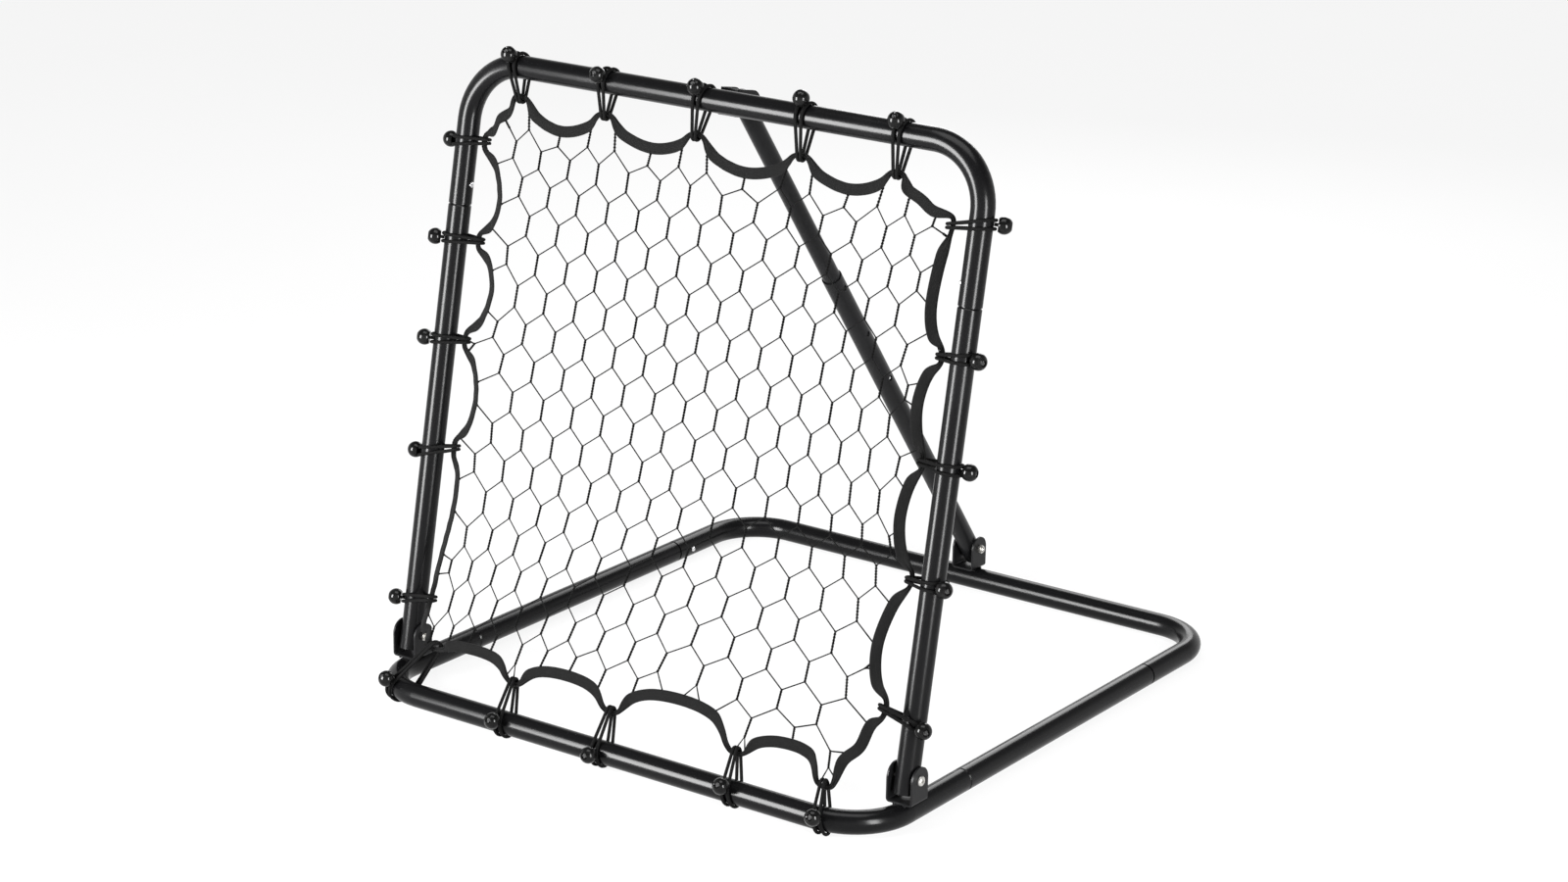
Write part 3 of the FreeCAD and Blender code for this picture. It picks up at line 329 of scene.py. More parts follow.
def make_material(name, pattern, fixed, **values):
    """Material of fixed inputs and of what a pattern returns: inputs that vary over it, and its height."""
    made = bpy.data.materials.new(name)
    field = empty_tree(made)
    varied = pattern(field, **values)
    height, distance = varied.pop("height")
    varied["Normal"] = field.add("ShaderNodeBump", None, {"Height": height, "Distance": distance}, "Normal")
    shader = field.add("ShaderNodeBsdfPrincipled", None, {**fixed, **varied})
    field.add("ShaderNodeOutputMaterial", None, {"Surface": shader})
    return made


def powder_coat(field, colour, roughness):
    """Gloss powder coat: faint orange peel, rubbed patches and a few fine scratches."""
    place = field.place()
    peel = field.noise(place, 700.0, 1.0)
    rubbed = field.noise(place, 9.0, 4.0).ramp(0.52, 0.72)
    scratch_place = field.add("ShaderNodeMapping", None, {"Vector": place, "Scale": (240.0, 30.0, 60.0)})
    scratched = field.noise(scratch_place, 1.0, 3.0).ramp(0.69, 0.73) * rubbed
    return {"Base Color": (rubbed * 0.2 + scratched * 0.5).shades(colour, 1.0, 2.6),
            "Roughness": rubbed * 0.03 + scratched * 0.12 + roughness,
            "height": (peel - scratched * 0.5, 0.000004)}


def plated(field, colour, roughness):
    """Bright plating with turning marks and dull spots."""
    place = field.place()
    dull = field.noise(place, 260.0, 3.0).ramp(0.45, 0.75)
    marks = field.noise(place, 1800.0, 1.0)
    return {"Base Color": dull.shades(colour, 1.0, 0.6),
            "Roughness": dull * 0.18 + roughness,
            "height": (marks, 0.00001)}


def moulded(field, colour, roughness, grain):
    """Moulded plastic with a fine grain and duller rubbed spots."""
    place = field.place()
    rubbed = field.noise(place, 70.0, 3.0).ramp(0.5, 0.75)
    return {"Base Color": rubbed.shades(colour, 1.0, 2.2),
            "Roughness": rubbed * 0.12 + roughness,
            "height": (field.noise(place, 1500.0, 1.0), grain)}


def braided(field, colour, rounds, pitch):
    """Braided cover: yarns that cross in two slanting families, with a painted highlight where they stand
    high and painted shade between them.
    """
    along, around = field.map_axes()
    turn = around * (2 * math.pi * rounds)
    run = along * (2 * math.pi / pitch)
    left = (run + turn).maths("SINE")
    right = (run - turn).maths("SINE")
    yarn = (left * right).maths("ABSOLUTE")
    fuzz = field.noise(field.place(), 2500.0, 2.0)
    # The yarn relief that raises the bump also lightens the colour: a painted highlight on the yarns' crests
    # and painted shade in the troughs between them.
    return {"Base Color": (yarn * 0.7 + fuzz * 0.3).shades(colour, 0.5, 2.4),
            "Roughness": 0.82 - yarn * 0.12,
            "height": (yarn + fuzz * 0.3, 0.00022)}


def twisted(field, colour):
    """Net cord: fine fibres with worn, lighter spots."""
    place = field.place()
    fibre = field.noise(place, 2600.0, 3.0)
    worn = field.noise(place, 25.0, 3.0).ramp(0.5, 0.8)
    return {"Base Color": (fibre * 0.6 + worn * 0.3).shades(colour, 0.5, 2.2),
            "Roughness": 0.7 + worn * 0.15,
            "height": (fibre, 0.0002)}


def woven(field, colour, band, rib_run, rib_slant, thread_width):
    """Webbing: a herringbone of fine ribs with a painted highlight on their crests, and lighter threads where
    it rubs.
    """
    along, across = field.map_axes()
    side = (across * (math.pi / band)).maths("SINE").maths("SIGN")
    rib = (along * (2 * math.pi / rib_run) + across * side * (2 * math.pi / rib_slant)).maths("SINE")
    thread = (across * (2 * math.pi / thread_width)).maths("SINE")
    weave = rib * 0.35 + thread * 0.15 + 0.5
    fuzz = field.noise(field.place(), 1400.0, 3.0)
    worn = field.noise(field.place(), 30.0, 3.0).ramp(0.5, 0.8)
    # The weave, which also raises the ribs in the bump, lightens the colour on their crests as a painted
    # highlight. The worn patches are real wear.
    light = weave * 0.45 + fuzz * 0.3 + worn * 0.2
    return {"Base Color": light.shades(colour, 0.45, 2.4),
            "Roughness": 0.86 - weave * 0.1,
            "height": (weave + fuzz * 0.4, 0.00022)}


def sewn(field, colour):
    """Sewing thread, a little glossier than the webbing."""
    fibre = field.noise(field.place(), 3000.0, 2.0)
    return {"Base Color": fibre.shades(colour, 0.8, 2.8),
            "Roughness": fibre * 0.2 + 0.5,
            "height": (fibre, 0.00008)}


def set_finish(finish, *starts):
    """Gives a finish to each CAD node whose name starts as told."""
    chosen = [node for name, node in frame["nodes"].items() if name.startswith(starts)]
    if not chosen:
        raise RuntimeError(f"no CAD node's name starts with {starts}")
    for node in chosen:
        node.data.materials.clear()
        node.data.materials.append(finish)


# Places on the net frame

def in_row(points):
    """Row-frame points in metres, for points across, behind and up the upright net frame in millimetres."""
    across, behind, up = np.asarray(points, float).reshape(-1, 3).T
    return MM * np.stack([across, HINGE.y + behind * math.cos(LEAN) + up * math.sin(LEAN),
                          HINGE.z - behind * math.sin(LEAN) + up * math.cos(LEAN)], 1)


def on_net(places):
    """Points across, behind and up the upright frame for (x, height) places on the bent, slack net."""
    x, height = np.asarray(places, float).reshape(-1, 2).T
    below = BEND_START - height
    in_bend = np.clip(below, 0, BEND_LENGTH)
    past = np.maximum(below - BEND_LENGTH, 0)
    behind = -BEND_ANGLE * in_bend ** 2 / (2 * BEND_LENGTH) - past * math.sin(BEND_ANGLE)
    fallen = in_bend - BEND_ANGLE ** 2 * in_bend ** 3 / (6 * BEND_LENGTH ** 2) + past * math.cos(BEND_ANGLE)
    up = np.where(below > 0, BEND_START - fallen, height)
    share = np.clip((height - NET_LOW) / (RAIL_HEIGHT - TUBE_RADIUS - NET_LOW), 0, 1)
    slack = NET_SLACK * np.sin(math.pi * share) * np.clip(1 - (x / HALF_WIDTH) ** 2, 0, 1)
    return np.stack([x, behind + slack, up], 1)


def edge_place(side, share, reach):
    """(x, height) of a place beside one of the four rails."""
    if side == "top":
        return share * STRAIGHT_HALF, RAIL_HEIGHT - TUBE_RADIUS - reach
    if side == "bottom":
        return share * STRAIGHT_HALF, NET_LOW + reach
    outer = HALF_WIDTH - TUBE_RADIUS - reach
    return (outer if side == "right" else -outer), share * POST_STRAIGHT


def corner_place(side):
    """(x, height) of the strap's corner at the end of a side, clockwise."""
    reach, rise = CORNERS[side]
    outer = HALF_WIDTH - TUBE_RADIUS - reach
    return (outer if side in ("top", "right") else -outer,
            NET_LOW + rise if side in ("right", "bottom") else RAIL_HEIGHT - TUBE_RADIUS - rise)


def rail_seat(side, along):
    """Axis point and direction of the top or front rail, which follow the corner bend past the straight."""
    hand = math.copysign(1, along)
    turn = max(abs(along) - STRAIGHT_HALF, 0) / BEND_RADIUS
    x = hand * (min(abs(along), STRAIGHT_HALF) + BEND_RADIUS * math.sin(turn))
    inset = BEND_RADIUS * (1 - math.cos(turn))
    if side == "top":
        direction = FRAME_TURN @ Vector((math.cos(turn), 0, -hand * math.sin(turn)))
        return Vector(in_row([(x, 0, RAIL_HEIGHT - inset)])[0]) / MM, direction
    direction = BASE_TURN @ Vector((math.cos(turn), hand * math.sin(turn), 0))
    return FRONT_RAIL + BASE_TURN @ Vector((x, inset, 0)), direction


def ball_direction(side, tube_axis, angle):
    """Unit vector from a tube's axis to a ball: up from straight ahead, or forward from straight outward."""
    behind = FRAME_TURN @ Vector((0, 1, 0))
    if side in ("left", "right"):
        ahead = Vector((-1 if side == "left" else 1, 0, 0))
        up = -behind
    elif side == "top":
        ahead = -behind
        up = tube_axis.cross(behind)
    else:
        up = BASE_TURN @ Vector((0, 0, 1))
        ahead = tube_axis.cross(up)
    return ahead * math.cos(math.radians(angle)) + up * math.sin(math.radians(angle))


def loop_seats(side):
    """Where each loop of a side sits on its tube and on the strap, in row millimetres."""
    seats = []
    for share, reach, aside, angle in TIES[side]:
        place = np.array(edge_place(side, share, reach))
        on_strap = on_net([place, place + np.array(STEPS[side])])
        strap_point, strap_beside = (Vector(point) / MM for point in in_row(on_strap))
        round_tube = LOOP_ROUND_TUBE
        if side in ("left", "right"):
            across = math.copysign(HALF_WIDTH, place[0])
            tube_point = Vector(in_row([(across, 0, on_strap[0][2] + aside)])[0]) / MM
            tube_axis = FRAME_TURN @ Vector((0, 0, 1))
        else:
            along = place[0] + aside
            tube_point, tube_axis = rail_seat(side, along)
            if abs(along) + SPREAD_ON_TUBE > STRAIGHT_HALF:
                round_tube += LOOP_ON_BEND
        strap_axis = (strap_beside - strap_point).normalized()
        straight = strap_point - tube_point
        slant = straight.dot(tube_axis)
        straight -= tube_axis * slant
        distance = straight.length
        ahead = (straight + tube_axis * slant) / distance
        sideways = tube_axis.cross(straight / distance)
        aslant = math.sqrt(max(1 - strap_axis.dot(tube_axis) ** 2, 0))
        round_strap = LOOP_ROUND_STRAP + SPREAD_ON_TUBE * aslant
        outward = ball_direction(side, tube_axis, angle)
        foot = tube_point + tube_axis * (ahead.dot(tube_axis) * round_tube * outward.dot(ahead))
        gathered = GATHER_HALF + round_strap * math.hypot(ahead.dot(strap_axis), sideways.dot(strap_axis))
        seats.append({"tube": tube_point, "axis": tube_axis, "strap": strap_point, "distance": distance,
                      "ahead": ahead, "sideways": sideways, "round_tube": round_tube,
                      "round_strap": round_strap, "outward": outward, "foot": foot, "gathered": gathered})
    return seats


def strap_controls(full, gathered):
    """Closed clockwise line of (x, height, half width) through the gathers, shoulders and sags."""
    line = []
    before = np.array(corner_place("left"))
    for side, step in STEPS.items():
        step = np.array(step)
        sags = [np.array(edge_place(side, *sag)) for sag in SAGS[side]] + [np.array(corner_place(side))]
        for tie, seat, after in zip(TIES[side], loop_seats(side), sags):
            place = np.array(edge_place(side, *tie[:2]))
            start = place - step * seat["gathered"]
            end = place + step * seat["gathered"]
            leaving = shoulder(end, after, step, FULL_SHOULDER.get(side, SHOULDER_DOWN))
            for point, half in ((shoulder(start, before, step, SHOULDER_DOWN), full), (start, gathered),
                                (end, gathered), (leaving, full), (after, full)):
                line.append((*point, half))
            before = after
    return np.array(line)


def shoulder(gathered, full, step, down):
    """Point beside a loop where the strap is wide again."""
    along = (full - gathered) @ step * step
    return gathered + along * SHOULDER_ALONG + (full - gathered - along) * down


def smooth_closed(points, spacing):
    """Rows on a smooth closed curve through the first two columns of points. Other columns ease between."""
    ahead = np.roll(points, -1, 0)
    runs = np.linalg.norm((ahead - points)[:, :2], axis=1)
    pace = np.sqrt(runs)
    before = np.roll(pace, 1)
    behind = np.roll(points, 1, 0)
    slope = ((points - behind) / before[:, None] * (pace / (pace + before))[:, None]
             + (ahead - points) / pace[:, None] * (before / (pace + before))[:, None])
    rows = []
    for k, (here, there) in enumerate(zip(points, ahead)):
        leave = slope[k] * pace[k]
        arrive = slope[(k + 1) % len(points)] * pace[k]
        t = np.arange(math.ceil(runs[k] / spacing)) / math.ceil(runs[k] / spacing)
        t = t[:, None]
        eased = t * t * (3 - 2 * t)
        row = (here * (1 - eased) + there * eased
               + leave * (t ** 3 - 2 * t ** 2 + t) + arrive * (t ** 3 - t ** 2))
        row[:, 2:] = here[2:] * (1 - eased) + there[2:] * eased
        rows.append(row)
    return np.concatenate(rows)


def unit(rows):
    """Vectors in rows, each one long."""
    return rows / np.linalg.norm(rows, axis=1)[:, None]


def outward_of(line):
    """Unit normals, pointing outward, of a closed clockwise line."""
    along = unit(np.roll(line, -1, 0)[:, :2] - np.roll(line, 1, 0)[:, :2])
    return np.stack([-along[:, 1], along[:, 0]], 1)


def strap_line():
    """The strap's smooth line, as rows of (x, height, half width)."""
    sizes = bpy.context.scene.rebounder
    controls = strap_controls(sizes.strap_width / 2 / MM, sizes.strap_gathered / 2 / MM)
    return smooth_closed(controls, STRAP_SPACING)


# Objects and Geometry Nodes

def linked(name, data):
    """New object in the scene."""
    made = bpy.data.objects.new(name, data)
    bpy.context.scene.collection.objects.link(made)
    return made


def mesh_piece(name, vertices, edges=(), faces=()):
    """New object at the origin from row-frame points in metres."""
    mesh = bpy.data.meshes.new(name)
    mesh.from_pydata([tuple(point) for point in vertices], edges, faces)
    mesh.update()
    return linked(name, mesh)


def add_ring(points, edges, ring):
    """Adds a closed run of points and the edges between them."""
    first = len(points)
    points += ring
    edges += [(first + k, first + (k + 1) % len(ring)) for k in range(len(ring))]


def mark(mesh, name, kind, domain, values):
    """Stores an attribute on a mesh."""
    attribute = mesh.attributes.new(name, kind, domain)
    key = "vector" if kind == "FLOAT_VECTOR" else "value"
    attribute.data.foreach_set(key, np.asarray(values, np.float32).ravel() if kind != "BOOLEAN" else values)


def node_tree(name, sizes):
    """Geometry Nodes tree with named inputs. Returns a field for its nodes and the inputs by name."""
    tree = bpy.data.node_groups.new(name, "GeometryNodeTree")
    tree.interface.new_socket("Geometry", in_out="INPUT", socket_type="NodeSocketGeometry")
    for label, kind in sizes.items():
        tree.interface.new_socket(label, in_out="INPUT", socket_type="NodeSocket" + kind)
    tree.interface.new_socket("Geometry", in_out="OUTPUT", socket_type="NodeSocketGeometry")
    start = tree.nodes.new("NodeGroupInput")
    given = {label: Field(tree, start.outputs[label]) for label in ("Geometry", *sizes)}
    return Field(tree), given


def end_tree(field, geometry, material):
    """Ends a tree: real, smooth geometry in one material."""
    real = field.add("GeometryNodeRealizeInstances", None, {"Geometry": geometry})
    smooth = field.add("GeometryNodeSetShadeSmooth", None, {"Geometry": real})
    made = field.add("GeometryNodeSetMaterial", None, {"Geometry": smooth, "Material": material})
    field.add("NodeGroupOutput", None, {"Geometry": made})
    return field.tree


def grow(source, tree, **values):
    """Plain object with what a tree makes of a source object, which is used up."""
    modifier = source.modifiers.new(tree.name, "NODES")
    modifier.node_group = tree
    identifiers = {item.name.lower().replace(" ", "_"): item.identifier for item in tree.interface.items_tree
                   if item.in_out == "INPUT"}
    for name, value in values.items():
        modifier[identifiers[name]] = value
    bpy.context.view_layer.update()
    graph = bpy.context.evaluated_depsgraph_get()
    mesh = bpy.data.meshes.new_from_object(source.evaluated_get(graph), preserve_all_data_layers=True,
                                           depsgraph=graph)
    if not mesh.polygons:
        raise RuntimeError(f"the tree {tree.name} made nothing of {source.name}")
    source.modifiers.remove(modifier)
    name = source.name
    bpy.data.objects.remove(source)
    mesh.name = name
    return linked(name, mesh)


def swept(field, curve, profile):
    """Mesh with a profile along curves, closed at their ends."""
    return field.add("GeometryNodeCurveToMesh", None,
                     {"Curve": curve, "Profile Curve": profile, "Fill Caps": True})


def round_tube(field, curve, radius, sides):
    """Closed-ended tube along curves, with a UV map that runs in metres along it and from 0 to 1 round it."""
    lengths = field.add("GeometryNodeSplineParameter", output="Length")
    total = field.add("GeometryNodeSplineLength")
    for name, value in (("along", lengths), ("total", total)):
        curve = field.store(curve, "FLOAT", "POINT", name, value)
    ring = field.add("GeometryNodeCurvePrimitiveCircle", None, {"Resolution": sides, "Radius": radius})
    ring = field.store(ring, "FLOAT", "POINT", "around", field.add("GeometryNodeSplineParameter"))
    tube = swept(field, curve, ring)
    along, total, around = (field.stored("FLOAT", name) for name in ("along", "total", "around"))

    def wrapped(value, whole):
        """The value with its whole added at the corners of the last face that lie on its start."""
        middle = field.add("GeometryNodeFieldOnDomain", {"data_type": "FLOAT", "domain": "FACE"},
                           {0: value})
        late = (middle > whole * 0.3) * (whole * 0.001 > value)
        return value + late * whole

    flat = field.add("ShaderNodeCombineXYZ", None,
                     {0: wrapped(along, total), 1: wrapped(around, around * 0 + 1)})
    return field.store(tube, "FLOAT2", "CORNER", "UVMap", flat)


# The net

def net_lattice():
    """Points of the flat net, its edges as (point, point, upright), and the top of each upright by row and
    column. Rows step half a mesh aside."""
    pitch = bpy.context.scene.rebounder.mesh_pitch / MM
    points = []
    edges = []
    ends = {}
    for row in range(NET_ROWS):
        for column in NET_COLUMNS:
            x = FIRST_UPRIGHT + ROW_DRIFT * row + (column + (row % 2) / 2) * pitch
            height = FIRST_ROW - ROW_STEP * row + ROW_SLOPE * x
            below = max(FAN_START - height, 0)
            aside = x / FAN_HALF
            x += below * (FAN_SHIFT + FAN_WIDEN * aside + FAN_BOW * aside ** 2)
            height += FAN_LIFT * below
            ends[row, column] = len(points)
            edges.append((len(points), len(points) + 1, True))
            points += [(x, height + UPRIGHT_LENGTH / 2), (x, height - UPRIGHT_LENGTH / 2)]
    for (row, column), first in ends.items():
        for beside in (column + row % 2 - 1, column + row % 2):
            if (row + 1, beside) in ends:
                edges.append((first + 1, ends[row + 1, beside], False))
    return np.array(points), edges, ends


def inside(places, loop):
    """Whether each place lies within a closed line."""
    x, y = places.T
    found = np.zeros(len(places), bool)
    for (x1, y1), (x2, y2) in zip(loop, np.roll(loop, -1, 0)):
        if y1 != y2:
            crosses = ((y1 > y) != (y2 > y)) & (x < (x2 - x1) * (y - y1) / (y2 - y1) + x1)
            found ^= crosses
    return found


def crossing(start, end, loop):
    """Point where a run leaves a closed line, if it does."""
    ahead = np.roll(loop, -1, 0) - loop
    run = end - start
    cross = run[0] * ahead[:, 1] - run[1] * ahead[:, 0]
    cross = np.where(np.abs(cross) < 1e-9, 1e-9, cross)
    offset = loop - start
    t = (offset[:, 0] * ahead[:, 1] - offset[:, 1] * ahead[:, 0]) / cross
    u = (offset[:, 0] * run[1] - offset[:, 1] * run[0]) / cross
    hits = t[(t >= 0) & (t <= 1) & (u >= 0) & (u <= 1)]
    return start + run * hits.min() if len(hits) else None


def top_height(loop, x):
    """Greatest height at which a closed line crosses an x."""
    following = np.roll(loop, -1, 0)
    spans = (loop[:, 0] - x) * (following[:, 0] - x) <= 0
    here, there = loop[spans], following[spans]
    run = there[:, 0] - here[:, 0]
    share = (x - here[:, 0]) / np.where(run == 0, 1, run)
    return (here[:, 1] + share * (there[:, 1] - here[:, 1])).max()


def settled_net():
    """The net clipped to its strap and pulled straight: places, edges and whether each is an upright."""
    line = strap_line()
    loop = line[:, :2] - outward_of(line) * line[:, 2:3] * 0.5
    points, edges, ends = net_lattice()
    keep = inside(points, loop)
    pinned = {}
    free = sorted((points[first][0], first) for (row, _), first in ends.items() if row == 0)
    for x in TOP_SEWN:
        nearest = min(free, key=lambda item: abs(item[0] - x))
        free.remove(nearest)
        pinned[nearest[1]] = (x, top_height(loop, x))
        keep[nearest[1]] = keep[nearest[1] + 1] = True
    for _, first in free:
        keep[first] = False
    places = [tuple(point) for point in points]
    kept = []
    for a, b, upright in edges:
        if keep[a] and keep[b]:
            kept.append((a, b, upright))
        elif keep[a] or keep[b]:
            within, beyond = (a, b) if keep[a] else (b, a)
            end = crossing(points[within], points[beyond], loop)
            if within in pinned or end is None:
                continue
            pinned[len(places)] = tuple(end)
            kept.append((within, len(places), upright))
            places.append(pinned[len(places)])
    used = sorted({k for a, b, _ in kept for k in (a, b)})
    number = {old: new for new, old in enumerate(used)}
    places = np.array([pinned.get(k, places[k]) for k in used], float)
    kept = [(number[a], number[b], upright) for a, b, upright in kept]
    held = np.array([k in pinned for k in used])
    pull = np.zeros((len(used), len(used)))
    for a, b, upright in kept:
        force = UPRIGHT_FORCE if upright else 1.0
        pull[[a, b, a, b], [a, b, b, a]] += (force, force, -force, -force)
    free = ~held
    places[free] = np.linalg.solve(pull[np.ix_(free, free)], -pull[np.ix_(free, held)] @ places[held])
    return places, kept


def cord_tree():
    """Turns the net's edges into cords: uprights are two strands twisted together, slanted ones single."""
    field, given = node_tree("net_cords", {"Strand Radius": "Float", "Turns": "Float", "Cord": "Material"})
    split = field.add("GeometryNodeSeparateGeometry", {"domain": "EDGE"},
                      {"Geometry": given["Geometry"], "Selection": field.stored("BOOLEAN", "upright")})
    radius = given["Strand Radius"]
    ring = field.add("GeometryNodeCurvePrimitiveCircle", None,
                     {"Resolution": STRAND_SIDES, "Radius": radius})
    pair = []
    for side in (-STRAND_ASIDE, STRAND_ASIDE):
        aside = field.add("ShaderNodeCombineXYZ", None, {0: radius * side})
        pair.append(field.add("GeometryNodeTransform", None, {"Geometry": ring, "Translation": aside}))
    pair = field.add("GeometryNodeJoinGeometry", None, {"Geometry": pair})
    runs = field.add("GeometryNodeMeshToCurve", None, {"Mesh": split})
    runs = field.add("GeometryNodeResampleCurve", {"mode": "COUNT"}, {"Curve": runs, "Count": TWIST_POINTS})
    turn = field.add("GeometryNodeSplineParameter") * given["Turns"] * (2 * math.pi)
    runs = field.add("GeometryNodeSetCurveTilt", None, {"Curve": runs, "Tilt": turn})
    twisted_pairs = swept(field, runs, pair)
    slanted = field.add("GeometryNodeMeshToCurve", None, {"Mesh": split.other("Inverted")})
    singles = swept(field, slanted, ring)
    bead = field.add("GeometryNodeMeshIcoSphere", None, {"Radius": radius * KNOT_BEAD, "Subdivisions": 1})
    beads = field.add("GeometryNodeInstanceOnPoints", None,
                      {"Points": given["Geometry"], "Instance": bead})
    joined = field.add("GeometryNodeJoinGeometry", None, {"Geometry": [twisted_pairs, singles, beads]})
    return end_tree(field, joined, given["Cord"])


class REBOUNDER_OT_net(bpy.types.Operator):
    """Knots the net inside its strap, from uprights of two twisted strands and single slanted strands"""

    bl_idname = "rebounder.net"
    bl_label = "Net"

    def execute(self, context):
        sizes = context.scene.rebounder
        places, kept = settled_net()
        source = mesh_piece("net", in_row(on_net(places)), [(a, b) for a, b, _ in kept])
        mark(source.data, "upright", "BOOLEAN", "EDGE", [upright for _, _, upright in kept])
        net = grow(source, cord_tree(), strand_radius=sizes.strand_radius, turns=sizes.twist_turns,
                   cord=make_material("net_cord", twisted, FABRIC, colour=sizes.fabric_colour))
        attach(net, "net_frame")
        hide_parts("net_mesh")
        return {"FINISHED"}


# The binding strap

def strap_stations():
    """The strap's smooth line with what its section needs at each station."""
    line = strap_line()
    outward = outward_of(line)
    for _ in range(4):
        outward = (np.roll(outward, 1, 0) + outward * 2 + np.roll(outward, -1, 0)) / 4
    outward = unit(outward)
    middle = on_net(line[:, :2])
    width = unit(on_net(line[:, :2] + outward / 2) - on_net(line[:, :2] - outward / 2))
    back = unit(np.cross(width, unit(np.roll(middle, -1, 0) - np.roll(middle, 1, 0))))
    back *= np.sign(back[:, 1:2])
    full = line[:, 2].max()
    slim = line[:, 2].min()
    bunch = (full - line[:, 2]) / (full - slim)
    roll = STRAP_ROLL * np.clip(outward[:, 0] ** 2 * 1.3 - 0.15, 0, 1) * (1 - bunch * 0.6)
    along = np.concatenate([[0], np.cumsum(np.linalg.norm(np.diff(middle, axis=0), axis=1))])
    return middle, width, back, line[:, 2], bunch, roll, along


def strap_surface(across, face):
    """Points of the strap's front (face -1) or back (1), at shares across its width from -1 to 1."""
    middle, width, back, half, bunch, roll, along = strap_stations()
    across = np.asarray(across, float)[None, :]
    middle, width, back, half, bunch, roll, along = (
        rows[:, None] for rows in (middle, width, back, half, bunch, roll, along))
    thick = (STRAP_THICK / 2 + bunch * STRAP_BUNCHED) * np.sqrt(np.clip(1 - across ** 6, 0, 1))
    pleat = PLEAT_HEIGHT * bunch ** 1.5 * np.cos(math.pi * PLEAT_WAVES * across + along / PLEAT_RUN)
    drift = PUCKER_SHIFT * np.sin(along / PUCKER_SHIFT_RUN)
    pucker = PUCKER_HEIGHT * np.sin(along / PUCKER_RUN + drift) * np.abs(across) ** 3
    cup = CUP_HEIGHT * (across ** 2 - 0.4) * (1 - bunch) * np.sin(along / CUP_RUN)
    depth = face * thick + pleat + pucker + cup
    reach = half * across
    outward_part = reach * np.cos(roll) - depth * np.sin(roll)
    back_part = reach * np.sin(roll) + depth * np.cos(roll)
    return middle + width * outward_part[..., None] + back * back_part[..., None]


def loft_closed(name, sections, flat):
    """Closed skin through closed sections round a closed line. Flat has the UV of sections and of points."""
    count, sides = sections.shape[:2]
    vertices = in_row(sections.reshape(-1, 3))
    faces = [((k * sides + m), (k * sides + (m + 1) % sides),
              ((k + 1) % count * sides + (m + 1) % sides), ((k + 1) % count * sides + m))
             for k in range(count) for m in range(sides)]
    piece = mesh_piece(name, vertices, faces=faces)
    uv = piece.data.uv_layers.new(name="UVMap")
    along, around = flat
    corners = [(along[k + (j in (2, 3))], around[m + (j in (1, 2))])
               for k in range(count) for m in range(sides) for j in range(4)]
    uv.data.foreach_set("uv", np.array(corners, np.float32).ravel())
    for face in piece.data.polygons:
        face.use_smooth = True
    return piece


class REBOUNDER_OT_strap(bpy.types.Operator):
    """Folds the binding strap round the net's edge, wide in its sags and bunched where a loop holds it"""

    bl_idname = "rebounder.strap"
    bl_label = "Binding strap"

    def execute(self, context):
        across = np.cos(np.linspace(0, math.pi, STRAP_FACES + 1))
        front = strap_surface(across, -1)
        rear = strap_surface(across[::-1][1:-1], 1)
        along = strap_stations()[6] * MM
        along = np.append(along, along[-1] + along[1])
        half = context.scene.rebounder.strap_width / 2
        spread = np.concatenate([across, 2 - across[1:]]) * -half
        strap = loft_closed("strap", np.concatenate([front, rear], 1), (along, spread))
        strap.data.materials.append(make_material(
            "webbing", woven, WEBBING, colour=context.scene.rebounder.fabric_colour,
            band=0.0056, rib_run=0.0013, rib_slant=0.0017, thread_width=0.0007))
        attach(strap, "net_frame")
        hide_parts("net_strap")
        return {"FINISHED"}


def stitch_tree():
    """Sets one short stitch at each step along rows of stitching, lying along the row."""
    field, given = node_tree("stitch_rows", {"Pitch": "Float", "Thread": "Material"})
    rows = field.add("GeometryNodeMeshToCurve", None, {"Mesh": given["Geometry"]})
    rows = field.add("GeometryNodeResampleCurve", {"mode": "LENGTH"},
                     {"Curve": rows, "Length": given["Pitch"]})
    lying = field.add("FunctionNodeAlignRotationToVector", {"axis": "Z"},
                      {"Vector": field.add("GeometryNodeInputTangent")})
    bead = field.add("GeometryNodeMeshUVSphere", None, {"Segments": 6, "Rings": 4, "Radius": 1.0})
    size = field.add("ShaderNodeCombineXYZ", None, {
        0: STITCH_RADIUS * MM, 1: STITCH_RADIUS * MM, 2: given["Pitch"] * STITCH_SHARE})
    stitches = field.add("GeometryNodeInstanceOnPoints", None,
                         {"Points": rows, "Instance": bead, "Rotation": lying, "Scale": size})
    return end_tree(field, stitches, given["Thread"])


class REBOUNDER_OT_stitching(bpy.types.Operator):
    """Sews two rows of stitches through the strap, seen on its front and its back"""

    bl_idname = "rebounder.stitching"
    bl_label = "Stitching"

    def execute(self, context):
        points = []
        edges = []
        for face in (-1, 1):
            for row in strap_surface(STITCH_ROWS, face).transpose(1, 0, 2):
                add_ring(points, edges, list(row))
        source = mesh_piece("stitching", in_row(points), edges)
        sizes = context.scene.rebounder
        piece = grow(source, stitch_tree(), pitch=sizes.stitch_pitch,
                     thread=make_material("thread", sewn, FABRIC, colour=sizes.fabric_colour))
        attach(piece, "net_frame")
        return {"FINISHED"}


# Elastic loops and the knots in their balls

